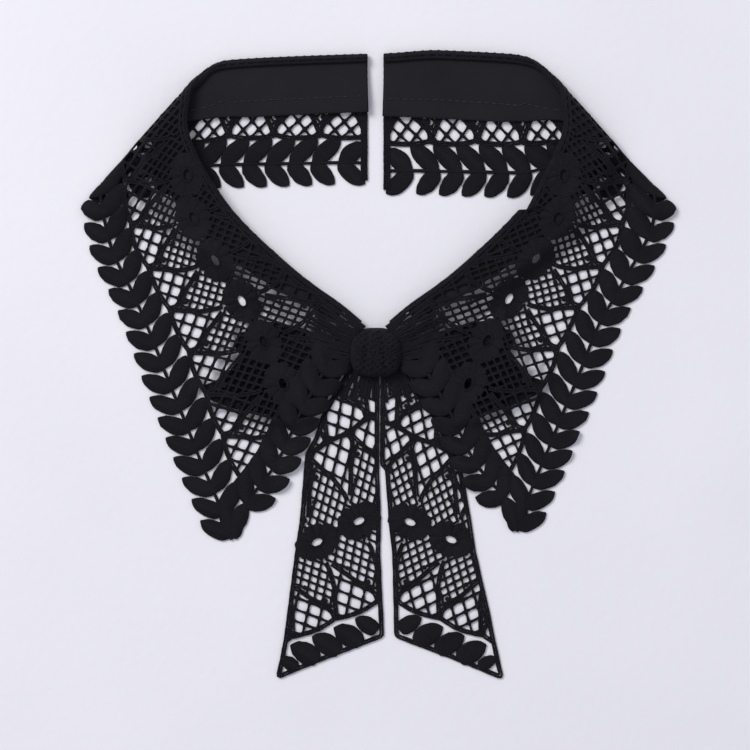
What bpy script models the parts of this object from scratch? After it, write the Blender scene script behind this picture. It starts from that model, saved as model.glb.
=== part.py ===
"""A black guipure lace collar with a bow, laid flat on a table.

Each half has a plain woven stand and a lace fall. The fall goes over the stand's top edge at the roll
line, and both fold together at the shoulder, so that the front wing lies on the back half. Two bow loops
lie under the wings, a knot covers the centre front, and two tails hang from it.

The pattern is drawn as a maker draws it, in millimetres on a flat table: x across the collar from its
middle, y towards the centre back. The left half is drawn, and the right half is its mirror image with
the small differences of the real one. The finished meshes are in metres, with +Z up.
"""

import math

import bpy
import numpy as np
from mathutils import Vector
from mathutils.geometry import delaunay_2d_cdt

MM = 0.001

# Cloth, millimetres
WALL = 1.0          # thickness of every cloth wall
GAP = 0.3           # clear space between two walls that touch
STEP = WALL + GAP   # from the middle of one wall to the middle of the next
ROLL_R = STEP       # the fall's turn over the stand's top edge
ROLL_CUT = math.pi * ROLL_R
TURN_UNDER = 4.0    # lace that shows inside the back stand, above its seam
FOLD_HALF = 4.6     # half of the cloth taken up by the shoulder fold
FOLD_REACH = 3.2    # how far the fold's bend reaches out, middle of the wall
BED = WALL / 2      # middle of a wall that lies on the table
DROP = 9.0          # run of the slope where the wing comes down from the stand
HEM_EASE = 1.5      # cloth beyond the stand's lower edge before that slope starts

# The lace repeat, millimetres: one flower, two pairs of leaves
REPEAT = 18.4
FLOWER_HOLE = 4.4
LEAF_TIP = 8.8      # from the leaf chain's middle to the leaf tips
LEAF_NOTCH = 4.8
BAND = 39.2         # from the leaf chain's middle to the flower row

# Centre of the finished collar's outline, which becomes x = 0, y = 0
CENTRE_X = 1.149
CENTRE_Y = 0.762


def columns(names, rows):
    """A short table as one array for each named column."""
    data = np.array(rows, float)
    return {name: data[:, i] for i, name in enumerate(names.split())}


# Roll line down the front, from the centre front up to the shoulder
ROLL_FRONT = columns("x y", [
    (-4.8, 17.2), (-14.2, 25.0), (-30.2, 36.6), (-52.2, 56.6), (-63.8, 71.4), (-71.8, 85.8),
    (-75.2, 96.0), (-74.3, 106.6), (-73.4, 113.8),
])
# The same line along the back, as it lies: from the shoulder to the centre back
ROLL_BACK = columns("x y", [
    (-65.4, 120.5), (-59.8, 121.9), (-48.6, 122.8), (-31.8, 123.6), (-15.0, 124.2), (-3.2, 124.6),
])
# The stand's depth below the roll line and the wing's height over it, by share of the front's length
FRONT_SHAPE = columns("share depth height", [
    (0.0, 4.5, 4.8), (0.16, 8.0, 5.2), (0.36, 12.0, 6.2), (0.62, 17.2, 7.2), (0.80, 17.0, 7.6),
    (0.89, 15.1, 7.6), (0.97, 17.0, 7.6), (1.02, 19.8, 7.6), (1.15, 23.2, 7.6), (1.6, 22.9, 7.6),
])
# Middle of the outer leaf chain, one row for each repeat, from the point of the wing to the centre back
CHAIN = columns("repeat x y", [
    (6, -56.5, -71.9), (5, -62.9, -54.5), (4, -70.1, -37.5), (3, -76.5, -21.3), (2, -83.2, -4.8),
    (1, -89.9, 12.6), (0, -97.2, 29.5), (-1, -105.4, 46.7), (-2, -109.4, 64.4), (-3, -110.7, 82.6),
    (-4, -110.2, 100.8), (-5, -109.4, 119.0), (-6, -110.9, 137.2), (-7, -112.7, 155.3), (-8, -114.5, 173.5),
    (-9, -117.1, 191.5),
])
# Flower row, one flower for each repeat
FLOWERS = columns("repeat x y", [
    (6, -18.0, -60.0), (5, -24.0, -42.0), (4, -30.2, -24.6), (3, -37.0, -7.0), (2, -44.6, 9.8),
    (1, -53.5, 26.3), (0, -64.0, 42.4), (-1, -72.6, 59.0), (-2, -75.0, 76.2), (-3, -75.0, 93.0),
    (-4, -73.4, 109.4), (-5, -71.0, 125.8), (-6, -71.8, 143.4), (-7, -74.6, 161.8),
    (-8, -77.8, 180.2), (-9, -80.8, 198.2),
])
# Middle of the leaf chain along the wing's front edge, one row for each leaf pair, from the point
FRONT_CHAIN = columns("x y", [
    (-56.5, -69.8), (-51.5, -54.9), (-46.4, -47.9), (-41.0, -40.6), (-36.8, -33.2), (-33.2, -25.3),
    (-29.3, -17.3), (-25.0, -9.7), (-20.6, -2.1),
])
WING_POINT = [(-64.6, -67.6), (-60.4, -68.6), (-56.8, -68.2), (-54.2, -65.0), (-51.9, -59.8)]
KNOT_SIDE = [(-13.2, -1.6), (-11.2, 2.0), (-11.2, 8.0), (-9.6, 13.2)]

# The shoulder fold: inner end at the roll line, outer end past the leaf tips
FOLD_INNER = (-70.8, 118.6)
FOLD_OUTER = (-114.6, 69.4)

LOOP = columns("x y", [
    (-12.0, 5.6), (-21.0, 10.2), (-30.2, 14.6), (-50.2, 18.2), (-69.0, -7.4), (-64.6, -13.0),
    (-49.8, -17.8), (-36.6, -20.6), (-28.4, -20.4), (-22.9, -17.4), (-18.4, -9.6), (-13.6, -2.4),
])
# The two hidden layers of a loop, as heights and how far each ring lies inside the outline
LOOP_RINGS = columns("height inset", [
    (0.0, 0.5), (0.35, 0.0), (0.95, 0.0), (1.15, 0.9), (1.35, 0.0), (1.95, 0.0), (2.3, 0.5),
])
TAIL_LEFT = columns("x y", [
    (1.7, 2.5), (-9.0, 2.5), (-12.2, -3.0), (-17.4, -11.8), (-21.4, -19.0), (-24.2, -27.8),
    (-28.2, -35.4), (-30.2, -60.6), (-32.2, -74.2), (-36.6, -108.2), (-39.6, -124.8),
    (2.6, -108.6), (3.4, -108.0), (1.9, -74.2), (2.2, -61.8), (1.4, -39.4),
])
TAIL_RIGHT = columns("x y", [
    (2.1, 2.5), (1.8, -39.4), (3.8, -41.4), (5.2, -61.8), (6.6, -74.2), (7.6, -108.2),
    (51.0, -125.0), (45.8, -98.6), (40.2, -74.2), (38.2, -60.6), (34.2, -39.4), (27.8, -26.6),
    (24.0, -19.0), (18.4, -11.8), (12.6, -3.0), (9.8, 2.5),
])
TAIL_FLOWERS = columns("side x y", [
    (-1, -23.4, -70.2), (-1, -6.6, -61.8), (1, 13.8, -62.2), (1, 30.2, -69.2),
])
# A tail's slanting end, from its inner corner to its outer one
TAIL_END = columns("side inner_x inner_y outer_x outer_y", [
    (-1, 2.6, -108.6, -39.6, -124.8), (1, 7.6, -108.2, 51.0, -125.0),
])
TAIL_LEAF_ROW = 6.4         # from that end to the leaves above it
TAIL_LEAF_STEP = 9.6
TAIL_NET_ROWS = (15.5, 58.0, 64.2)      # from that end to the lowest row of each patch of large cells
TAIL_CELL = 6.2             # diagonal of those cells
TAIL_CORD = 1.5             # cord left on each side of one

KNOT_CENTRE = (0.1, 5.6)
KNOT_HALF_WIDTH = 10.2
KNOT_HALF_DEPTH = 9.9
# The knot's rings, as heights and shares of its full size
KNOT_RINGS = columns("height size", [
    (1.4, 0.86), (2.2, 0.98), (3.4, 1.0), (4.9, 0.95), (6.2, 0.82), (7.1, 0.60), (7.6, 0.30),
])
KNOT_DENT = 0.03
KNOT_ROUNDNESS = 0.72       # 1 is an ellipse, less is squarer

# The right half's own differences
RIGHT_HEM_DROP = 0.075      # share by which the right back half hangs lower
RIGHT_TOP_RISE = 2.2        # bow of its top edge
RIGHT_WING_RISE = 0.025     # share by which the right wing is shorter
RIGHT_SHOULDER_OUT = 2.8    # its shoulder leaves stand further out
RIGHT_EDGE_IN = 1.8         # and its lower edge lies further in
CURL_FROM = (81.0, -19.4)   # the rolled-up edge of the right wing
CURL_TO = (69.8, -58.2)
CURL_R = 2.4

BLACK_LACE = (0.0105, 0.0105, 0.0130, 1.0)
BLACK_CLOTH = (0.0140, 0.0140, 0.0170, 1.0)
LACE_ROUGHNESS = 0.75
CLOTH_ROUGHNESS = 0.6


def smooth(x):
    """0 below 0, 1 above 1, and an even S between."""
    x = np.clip(x, 0.0, 1.0)
    return x * x * (3.0 - 2.0 * x)


def catmull(points, t):
    """Points on the smooth curve through the rows of points, at the row numbers t."""
    points = np.asarray(points, float)
    last = len(points) - 1
    ends = np.vstack([2 * points[0] - points[1], points, 2 * points[-1] - points[-2]])
    i = np.clip(np.floor(t).astype(int), 0, last - 1)
    f = (np.asarray(t, float) - i)[..., None]
    a, b, c, d = ends[i], ends[i + 1], ends[i + 2], ends[i + 3]
    return 0.5 * (2 * b + (c - a) * f + (2 * a - 5 * b + 4 * c - d) * f ** 2
                  + (3 * b - a - 3 * c + d) * f ** 3)


class Line:
    """A line of many short straight runs, with the distance of points to its left."""

    def __init__(self, points):
        self.p = np.asarray(points, float)
        run = np.diff(self.p, axis=0)
        self.length = np.hypot(run[:, 0], run[:, 1])
        self.unit = run / self.length[:, None]
        self.start = np.concatenate([[0.0], np.cumsum(self.length)])

    def nearest(self, q):
        """Signed distance of each point (left is positive), length along, and the foot."""
        q = np.atleast_2d(np.asarray(q, float))
        rel = q[:, None, :] - self.p[None, :-1, :]
        along = np.clip((rel * self.unit).sum(2), 0.0, self.length)
        foot = self.p[None, :-1, :] + along[..., None] * self.unit
        gap = q[:, None, :] - foot
        size = np.hypot(gap[..., 0], gap[..., 1])
        i = size.argmin(1)
        row = np.arange(len(q))
        side = self.unit[i, 0] * gap[row, i, 1] - self.unit[i, 1] * gap[row, i, 0]
        sign = np.where(side >= 0, 1.0, -1.0)
        return sign * size[row, i], self.start[i] + along[row, i], foot[row, i]

    def at(self, along, off=0.0):
        """The points at these lengths along, moved off to the left."""
        along = np.asarray(along, float)
        i = np.clip(np.searchsorted(self.start, along, side="right") - 1, 0, len(self.length) - 1)
        point = self.p[i] + (along - self.start[i])[..., None] * self.unit[i]
        knots = np.vstack([self.unit[:1], (self.unit[:-1] + self.unit[1:]) / 2, self.unit[-1:]])
        f = ((along - self.start[i]) / self.length[i])[..., None]
        unit = knots[i] * (1 - f) + knots[i + 1] * f
        unit = unit / np.linalg.norm(unit, axis=-1, keepdims=True)
        left = np.stack([-unit[..., 1], unit[..., 0]], -1)
        return point + left * np.asarray(off, float)[..., None]


FOLD_P = np.array(FOLD_INNER)
FOLD_U = np.array(FOLD_OUTER) - FOLD_P
FOLD_U = FOLD_U / np.linalg.norm(FOLD_U)
FOLD_N = np.array([-FOLD_U[1], FOLD_U[0]])      # towards the wing


def mirrored(points):
    """Points reflected across the shoulder fold, from the back as it lies to the flat pattern."""
    rel = np.asarray(points, float) - FOLD_P
    return FOLD_P + 2 * (rel @ FOLD_U)[..., None] * FOLD_U - rel


def both(table, x="x", y="y"):
    return np.column_stack([table[x], table[y]])


def roll_line():
    """The roll line in the flat pattern, from the centre front to the centre back."""
    knots = np.vstack([both(ROLL_FRONT), mirrored(both(ROLL_BACK))])
    per_run = 5
    return Line(catmull(knots, np.arange(0, (len(knots) - 1) * per_run + 1) / per_run))


ROLL = roll_line()
FRONT_LENGTH = float(ROLL.nearest(both(ROLL_FRONT)[-1:])[1][0])


def by_share(column, along):
    return np.interp(along / FRONT_LENGTH, FRONT_SHAPE["share"], FRONT_SHAPE[column])


def is_inside(outline, q):
    """Whether each point lies inside a closed outline."""
    x, y = q[:, 0][:, None], q[:, 1][:, None]
    x1, y1 = outline[:, 0], outline[:, 1]
    x2, y2 = np.roll(x1, -1), np.roll(y1, -1)
    rise = np.where(y2 == y1, 1e-9, y2 - y1)
    crosses = ((y1 > y) != (y2 > y)) & (x < (x2 - x1) * (y - y1) / rise + x1)
    return crosses.sum(1) % 2 == 1


def inside_distance(outline, q):
    """Distance of points outside a closed outline, and 0 inside it."""
    closed = np.vstack([outline, outline[:1]])
    return np.where(is_inside(outline, q), 0.0, np.abs(Line(closed).nearest(q)[0]))


def wing_height(q):
    """Height of the middle of the wing over the table.

    It rides over the stand beside the roll line, slopes down, and lies on what is under it: the back
    half near the shoulder, the bow loops, the tails, or the table.
    """
    d, along, _ = ROLL.nearest(q)
    on_back = smooth((q[:, 1] - (56.0 + 0.17 * (q[:, 0] + 118.0))) / 5.0)
    on_loop = smooth((5.0 - inside_distance(both(LOOP), q)) / 4.0)
    from_tail = np.minimum(inside_distance(both(TAIL_LEFT), q),
                           inside_distance(both(TAIL_RIGHT), q * (-1.0, 1.0)))
    on_tail = smooth((5.0 - from_tail) / 4.0)
    bed = BED + np.maximum.reduce([1.5 * on_back, 3.0 * on_loop, 1.5 * on_tail])
    down = smooth((d - by_share("depth", along) - HEM_EASE) / DROP)
    return by_share("height", along) * (1 - down) + bed * down


def turned_over(q, out):
    """Roll the flat fall over the stand's top edge.

    Further in than the turn a point stays where it is. The turn is a half circle round the stand's
    edge, and what is left beyond it lies flat on the stand's other side. out is how far a point stands
    out from the middle of the wall. Returns the place in the flat pattern and the depth in the stack.
    """
    d, _, foot = ROLL.nearest(q)
    turn = np.clip((ROLL_R - d) / ROLL_CUT, 0.0, 1.0) * math.pi
    left_over = np.maximum(0.0, ROLL_R - ROLL_CUT - d)
    moved = ROLL_R - (ROLL_R + out) * np.sin(turn) + left_over
    depth = ROLL_R - (ROLL_R + out) * np.cos(turn)
    size = np.where(np.abs(d) < 1e-6, 1.0, d)
    inward = (q - foot) / size[:, None]
    placed = np.where((d < ROLL_R)[:, None], foot + inward * moved[:, None], q)
    return placed, np.where(d < ROLL_R, depth, -out)


def folded(q, depth):
    """Fold the flat pattern at the shoulder and give it its heights.

    depth is measured from the middle of the fall towards the inside of the fold, so it runs down in the
    wing and up in the back half.
    """
    rel = q - FOLD_P
    t, s = rel @ FOLD_N, rel @ FOLD_U
    axis = FOLD_P + s[:, None] * FOLD_U + FOLD_HALF * FOLD_N
    on_wing, on_back = t >= FOLD_HALF, t <= -FOLD_HALF
    place = np.where(on_wing[:, None], q, axis)
    height = wing_height(place)
    e = 0.2
    slope_x = (wing_height(place + (e, 0.0)) - wing_height(place - (e, 0.0))) / (2 * e)
    slope_y = (wing_height(place + (0.0, e)) - wing_height(place - (0.0, e))) / (2 * e)
    normal = np.column_stack([-slope_x, -slope_y, np.ones(len(q))])
    normal = normal / np.linalg.norm(normal, axis=1)[:, None]
    wing = np.column_stack([q, height]) - depth[:, None] * normal
    back_plan = FOLD_P + s[:, None] * FOLD_U - t[:, None] * FOLD_N
    back = np.column_stack([back_plan, BED + depth])
    radius = (height - BED) / 2
    angle = np.clip(t / FOLD_HALF, -1.0, 1.0) * math.pi / 2
    across = FOLD_HALF - (FOLD_REACH - depth) * np.cos(angle)
    bend_plan = FOLD_P + s[:, None] * FOLD_U + across[:, None] * FOLD_N
    bend = np.column_stack([bend_plan, (height + BED) / 2 + (radius - depth) * np.sin(angle)])
    return np.where(on_wing[:, None], wing, np.where(on_back[:, None], back, bend))


def on_right(p):
    """Mirror points of the left half to the right, with the right half's own differences."""
    p = p.copy()
    x, y = -p[:, 0], p[:, 1]
    back = smooth((72.0 - x) / 14.0) * smooth((y - 62.0) / 5.0)
    y = y - back * RIGHT_HEM_DROP * (124.6 - y)
    top = smooth((y - 100.0) / 20.0) * smooth(x / 26.0) * smooth((76.0 - x) / 22.0)
    y = y + RIGHT_TOP_RISE * top
    wing = smooth((x - 32.0) / 30.0) * smooth((66.0 - y) / 10.0)
    y = y + wing * RIGHT_WING_RISE * (66.0 - y)
    x = x - RIGHT_EDGE_IN * smooth((32.0 - y) / 16.0) * smooth((x - 45.0) / 25.0)
    x = x + RIGHT_SHOULDER_OUT * np.exp(-((y - 58.0) / 14.0) ** 2) * smooth((x - 90.0) / 20.0)
    p[:, 0], p[:, 1] = x, y
    start, end = np.array(CURL_FROM), np.array(CURL_TO)
    run = (end - start) / np.linalg.norm(end - start)
    out = np.array([-run[1], run[0]])
    rel = p[:, :2] - start
    past = rel @ out
    share = (rel @ run) / np.linalg.norm(end - start)
    curl = smooth(share / 0.25) * smooth((1.08 - share) / 0.12) * (past > 0)
    angle = np.clip(past, 0.0, None) / CURL_R
    p[:, :2] += (curl * (CURL_R * np.sin(angle) - past))[:, None] * out
    p[:, 2] += curl * CURL_R * (1 - np.cos(angle))
    return p


def strip(repeat, across):
    """A place in the flat lace: repeats along the leaf chain, and the distance across from it."""
    row = CHAIN["repeat"][0] - np.asarray(repeat, float)
    leaf = catmull(both(CHAIN), row)
    flower = catmull(both(FLOWERS), row)
    return leaf + (flower - leaf) * (np.asarray(across, float) / BAND)[..., None]


def front_strip(pair, out):
    """A place beside the front leaf chain: leaf pairs from the point, and the distance outwards."""
    pair = np.asarray(pair, float)
    knots = both(FRONT_CHAIN)
    e = 0.05
    ahead, behind = catmull(knots, pair + e), catmull(knots, pair - e)
    unit = (ahead - behind) / np.linalg.norm(ahead - behind, axis=-1, keepdims=True)
    return catmull(knots, pair) + np.stack([unit[..., 1], -unit[..., 0]], -1) * (
        np.asarray(out, float)[..., None])


# One leaf tooth of the border: share of the pitch past the tip, and the distance out
TOOTH = columns("share out", [
    (0.0, LEAF_TIP), (0.27, 8.1), (0.55, 7.0), (0.86, LEAF_NOTCH), (0.92, 7.3),
])
FIRST_TIP = 5.25        # the outer leaf tip nearest the wing's point, in repeats
LAST_TIP = -7.75
END_TIP = -8.45         # the longer last leaf at the centre back
FRONT_TIP = 2.05        # the front leaf tip nearest the point, in leaf pairs
FRONT_TEETH = 7


def outer_teeth():
    """The leafy outer edge, from the centre back to the wing's point."""
    edge = [*strip(END_TIP + TOOTH["share"] * (LAST_TIP - END_TIP), -TOOTH["out"])]
    for k in range(int(round((FIRST_TIP - LAST_TIP) * 2)) + 1):
        tip = LAST_TIP + k / 2
        last = tip > FIRST_TIP - 0.01
        rows = slice(0, 2) if last else slice(0, 5)
        edge.extend(strip(tip + TOOTH["share"][rows] / 2, -TOOTH["out"][rows]))
    return edge


def front_teeth():
    """The leafy front edge, from the wing's point up to the knot."""
    edge = []
    for k in range(FRONT_TEETH):
        tip = FRONT_TIP + k
        share = TOOTH["share"][::-1]
        edge.extend(front_strip(tip - share, TOOTH["out"][::-1]))
    return edge


def fall_outline():
    """The fall's flat cut."""
    end = ROLL.start[-1]
    seam = ROLL.at(np.linspace(0.3, FRONT_LENGTH + 6.0, 22), np.full(22, ROLL_R - ROLL_CUT))
    turned = ROLL.at(np.linspace(FRONT_LENGTH + 9.0, end, 9),
                     np.full(9, ROLL_R - ROLL_CUT - TURN_UNDER))
    return [*seam, *turned, *outer_teeth(), *WING_POINT, *front_teeth(), *KNOT_SIDE]


def diamond(centre, half_along, half_across, place, lean=0.0):
    """The four corners of one net cell or leaf gap, as half sizes along and across the strip."""
    u, v = centre
    corners = np.array([(half_along, lean), (0.0, half_across), (-half_along, -lean),
                        (0.0, -half_across)])
    return place(u + corners[:, 0] / REPEAT, v + corners[:, 1])


def ring(centre, radius, count=8):
    angle = np.arange(count) * 2 * math.pi / count
    return np.column_stack([centre[0] + radius * np.cos(angle), centre[1] + radius * np.sin(angle)])


# Gaps of one repeat: place along in repeats from the flower, place across, and half sizes
REPEAT_GAPS = columns("along across half_along half_across lean", [
    (-0.645, 2.4, 2.1, 0.9, -1.1), (-0.145, 2.4, 2.1, 0.9, -1.1),
    (-0.645, -2.5, 2.2, 0.9, 1.3), (-0.145, -2.5, 2.2, 0.9, 1.3),
    (-0.84, 7.5, 2.3, 1.6, 0.9),
])


# The patch of large net cells in one repeat: along in repeats from the flower, across in bands
NET_PATCH = columns("along across", [
    (-1.40, 0.29), (-1.0, 0.264), (-0.77, 0.262), (-0.41, 0.29), (-0.39, 0.36), (-0.54, 0.478),
    (-0.65, 0.55), (-0.765, 0.64), (-0.93, 0.765), (-1.04, 0.797), (-1.03, 0.732), (-1.105, 0.557),
    (-1.234, 0.425), (-1.335, 0.32),
])
# Its cells, in millimetres along and across: one cell's middle, the step in a row and between rows
NET_CELL = np.array([-19.45, 17.2])
NET_ROW = np.array([2.85, 3.35])
NET_COLUMN = np.array([3.6, -3.45])
CELL_SHARE = 0.68       # of each step that is open


def net_cells(repeat, place):
    """The large cells of one repeat that lie whole inside its patch."""
    patch = both(NET_PATCH, "along", "across") * (REPEAT, BAND)
    corners = np.array([(1, 1), (1, -1), (-1, -1), (-1, 1)]) * CELL_SHARE / 2
    corners = corners @ np.array([NET_ROW, NET_COLUMN])
    cells = []
    for i in range(-4, 5):
        for j in range(-4, 6):
            cell = NET_CELL + i * NET_ROW + j * NET_COLUMN + corners
            if is_inside(patch, cell).all():
                cells.append(place(repeat + cell[:, 0] / REPEAT, cell[:, 1]))
    return cells


def repeat_gaps(repeat, place):
    """Every gap over 4 mm in one repeat of the lace."""
    gaps = [ring(place(float(repeat), BAND), FLOWER_HOLE / 2)]
    table = REPEAT_GAPS
    for row in range(len(table["along"])):
        centre = (repeat + table["along"][row], table["across"][row])
        gaps.append(diamond(centre, table["half_along"][row], table["half_across"][row], place,
                            table["lean"][row]))
    return gaps + net_cells(repeat, place)


def fall_gaps():
    """The gaps of the fall, without those in the turned edge and the shoulder fold."""
    gaps = []
    for repeat in range(-8, 6):
        gaps.extend(repeat_gaps(repeat, strip))
    corners = np.array([(0.16, 0.0), (0.0, 0.9), (-0.22, 1.1), (-0.06, -0.4)])
    for k in range(1, FRONT_TEETH):
        along = FRONT_TIP + k - 0.62 - corners[:, 0]
        gaps.append(front_strip(along, 2.4 + corners[:, 1] - corners[:, 0] * 2.0))
    return gaps


def kept(gaps, outline, keep_off, margin=1.1):
    """The gaps that lie well inside an outline, clear of each other and of what keep_off refuses."""
    outline = np.asarray(outline, float)
    edge = Line(np.vstack([outline, outline[:1]]))
    chosen, centres = [], []
    for gap in gaps:
        if (inside_distance(outline, gap) > 0).any() or np.abs(edge.nearest(gap)[0]).min() < margin:
            continue
        if keep_off(gap):
            continue
        middle = gap.mean(0)
        reach = np.linalg.norm(gap - middle, axis=1).max()
        if any(np.linalg.norm(middle - m) < 0.82 * (reach + r) for m, r in centres):
            continue
        chosen.append(gap)
        centres.append((middle, reach))
    return chosen


def in_turn_or_fold(gap):
    d = ROLL.nearest(gap)[0]
    t = (gap - FOLD_P) @ FOLD_N
    return d.min() < ROLL_R + 1.0 or np.abs(t).min() < FOLD_HALF + 0.8


def triangles(outline, gaps=(), lines=(), points=()):
    """Flat triangles inside an outline and outside its gaps, with the lines as edges."""
    flat, edges = [], []
    for loop in [outline, *gaps]:
        start, count = len(flat), len(loop)
        flat.extend(loop)
        edges.extend((start + i, start + (i + 1) % count) for i in range(count))
    for line in lines:
        start, count = len(flat), len(line)
        flat.extend(line)
        edges.extend((start + i, start + i + 1) for i in range(count - 1))
    flat.extend(points)
    result = delaunay_2d_cdt([Vector((float(p[0]), float(p[1]))) for p in flat], edges, [], 0, 1e-4)
    corners = np.array([tuple(v) for v in result[0]])
    faces = np.array([f for f in result[2]])
    middle = corners[faces].mean(1)
    wanted = is_inside(np.asarray(outline, float), middle)
    for gap in gaps:
        wanted &= ~is_inside(gap, middle)
    used, faces = np.unique(faces[wanted], return_inverse=True)
    return corners[used], faces.reshape(-1, 3)


def slab(name, corners, faces, lift, flip, colour, roughness):
    """A closed wall from flat triangles. lift(points, out) places the points of its two faces."""
    outer, inner = lift(corners, WALL / 2), lift(corners, -WALL / 2)
    n = len(corners)
    count = {}
    for f in faces:
        for i in range(3):
            edge = (f[i], f[(i + 1) % 3])
            count[tuple(sorted(edge))] = count.get(tuple(sorted(edge)), []) + [edge]
    rim = [e[0] for e in count.values() if len(e) == 1]
    polygons = [tuple(f) for f in faces]
    polygons += [tuple(f[::-1] + n) for f in faces]
    polygons += [(b, a, a + n, b + n) for a, b in rim]
    if flip:
        polygons = [p[::-1] for p in polygons]
    return solid(name, np.vstack([outer, inner]), polygons, colour, roughness)


def solid(name, points, polygons, colour, roughness):
    """One named object with its own material, from points in pattern millimetres."""
    centred = np.asarray(points, float) - (CENTRE_X, CENTRE_Y, 0.0)
    mesh = bpy.data.meshes.new(name)
    mesh.from_pydata([tuple(p) for p in centred * MM], [],
                     [tuple(int(i) for i in p) for p in polygons])
    mesh.validate()
    mesh.update()
    obj = bpy.data.objects.new(name, mesh)
    bpy.context.scene.collection.objects.link(obj)
    material = bpy.data.materials.new(name + "_finish")
    material.use_nodes = True
    shader = material.node_tree.nodes["Principled BSDF"]
    shader.inputs["Base Color"].default_value = colour
    shader.inputs["Roughness"].default_value = roughness
    shader.inputs["Metallic"].default_value = 0.0
    mesh.materials.append(material)
    return obj


def inside_points(outline, gaps, spacing, clear, keep=lambda q: np.ones(len(q), bool)):
    """Evenly spread points inside an outline, away from its edge and its gaps."""
    outline = np.asarray(outline, float)
    low, high = outline.min(0), outline.max(0)
    rows = []
    for j, y in enumerate(np.arange(low[1], high[1], spacing * 0.87)):
        for x in np.arange(low[0] + (j % 2) * spacing / 2, high[0], spacing):
            rows.append((x, y))
    q = np.array(rows)
    edge = Line(np.vstack([outline, outline[:1]]))
    q = q[(inside_distance(outline, q) == 0) & (np.abs(edge.nearest(q)[0]) > clear)]
    for gap in gaps:
        q = q[np.linalg.norm(q - gap.mean(0), axis=1) > clear + 1.6]
    return q[keep(q)]


def fold_lines(first, last, steps=6, spacing=7.0):
    """Lines along the shoulder fold, so that its faces turn evenly round it."""
    s = np.arange(first, last, spacing)
    return [FOLD_P + s[:, None] * FOLD_U + t * FOLD_N
            for t in np.linspace(-FOLD_HALF, FOLD_HALF, steps + 1)]


def turn_lines():
    """Lines along the roll line, so that the turned edge's faces turn evenly."""
    last = ROLL.start[-1] - 0.02
    rows = []
    for share in (0.0, 0.25, 0.5, 0.75, 1.0):
        first = 0.6 if share < 1.0 else FRONT_LENGTH + 8.0
        count = int((last - first) / 7.0)
        rows.append(ROLL.at(np.linspace(first, last, count), np.full(count, ROLL_R - share * ROLL_CUT)))
    return rows


def slope_lines():
    """Lines along the top, the middle and the foot of the wing's slope."""
    along = np.linspace(6.0, FRONT_LENGTH * 0.97, 18)
    return [ROLL.at(along, by_share("depth", along) + HEM_EASE + share * DROP)
            for share in (0.0, 0.33, 0.67, 1.0)]


def lift_fall(q, out):
    placed, depth = turned_over(q, out)
    return folded(placed, depth)


def stand_depth(q):
    """Depth of the stand's middle under the fall, with its lower edge raised at the centre back."""
    d, along, _ = ROLL.nearest(q)
    to_back = smooth((along / FRONT_LENGTH - 1.35) / 0.5)
    return STEP + 2.6 * to_back * smooth((d - 5.0) / 16.0)


def lift_stand(q, out):
    return folded(q, stand_depth(q) - out)


def stand_outline():
    """The stand's flat cut: one edge at the roll line, the other at the stand's own depth."""
    end = ROLL.start[-1]
    first = 8.2
    top = ROLL.at(np.linspace(first, end, 40), np.full(40, ROLL_R))
    along = np.linspace(end, first + 1.5, 40)
    return [*top, *ROLL.at(along, by_share("depth", along))]


def make_falls():
    outline = fall_outline()
    gaps = kept(fall_gaps(), outline, in_turn_or_fold)
    lines = [*fold_lines(3.0, 70.0), *turn_lines(), *slope_lines()]
    lines = [line[inside_distance(np.array(outline), line) == 0] for line in lines]

    def on_wing(q):
        return ((q - FOLD_P) @ FOLD_N > FOLD_HALF + 2.0) & (ROLL.nearest(q)[0] > 6.0)

    points = inside_points(outline, gaps, 6.5, 1.8, on_wing)
    corners, faces = triangles(outline, gaps, lines, points)
    slab("fall_left", corners, faces, lift_fall, False, BLACK_LACE, LACE_ROUGHNESS)
    slab("fall_right", corners, faces, lambda q, out: on_right(lift_fall(q, out)), True,
         BLACK_LACE, LACE_ROUGHNESS)


def make_stands():
    outline = stand_outline()
    lines = fold_lines(2.0, 30.0)
    along = np.linspace(12.0, ROLL.start[-1] - 1.0, 26)
    lines.append(ROLL.at(along, by_share("depth", along) * 0.5))
    lines = [line[inside_distance(np.array(outline), line) == 0] for line in lines]
    corners, faces = triangles(outline, (), lines)
    slab("stand_left", corners, faces, lift_stand, False, BLACK_CLOTH, CLOTH_ROUGHNESS)
    slab("stand_right", corners, faces, lambda q, out: on_right(lift_stand(q, out)), True,
         BLACK_CLOTH, CLOTH_ROUGHNESS)


def make_loops():
    """Each loop's two hidden layers share one solid, with the gap between them showing at its edge."""
    outline = both(LOOP)
    count = len(outline)
    ahead, behind = np.roll(outline, -1, 0), np.roll(outline, 1, 0)
    run = (ahead - behind) / np.linalg.norm(ahead - behind, axis=1)[:, None]
    inward = np.column_stack([-run[:, 1], run[:, 0]])
    for side, name in ((-1, "bow_loop_left"), (1, "bow_loop_right")):
        rings = [np.column_stack([outline + inward * inset, np.full(count, height)])
                 for height, inset in zip(LOOP_RINGS["height"], LOOP_RINGS["inset"])]
        points = np.vstack(rings)
        polygons = [tuple(range(count))[::-1],
                    tuple(range((len(rings) - 1) * count, len(rings) * count))]
        for r in range(len(rings) - 1):
            for i in range(count):
                a, b = r * count + i, r * count + (i + 1) % count
                polygons.append((a, b, b + count, a + count))
        if side > 0:
            points = on_right(points)
            polygons = [p[::-1] for p in polygons]
        solid(name, points, polygons, BLACK_LACE, LACE_ROUGHNESS)


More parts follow.
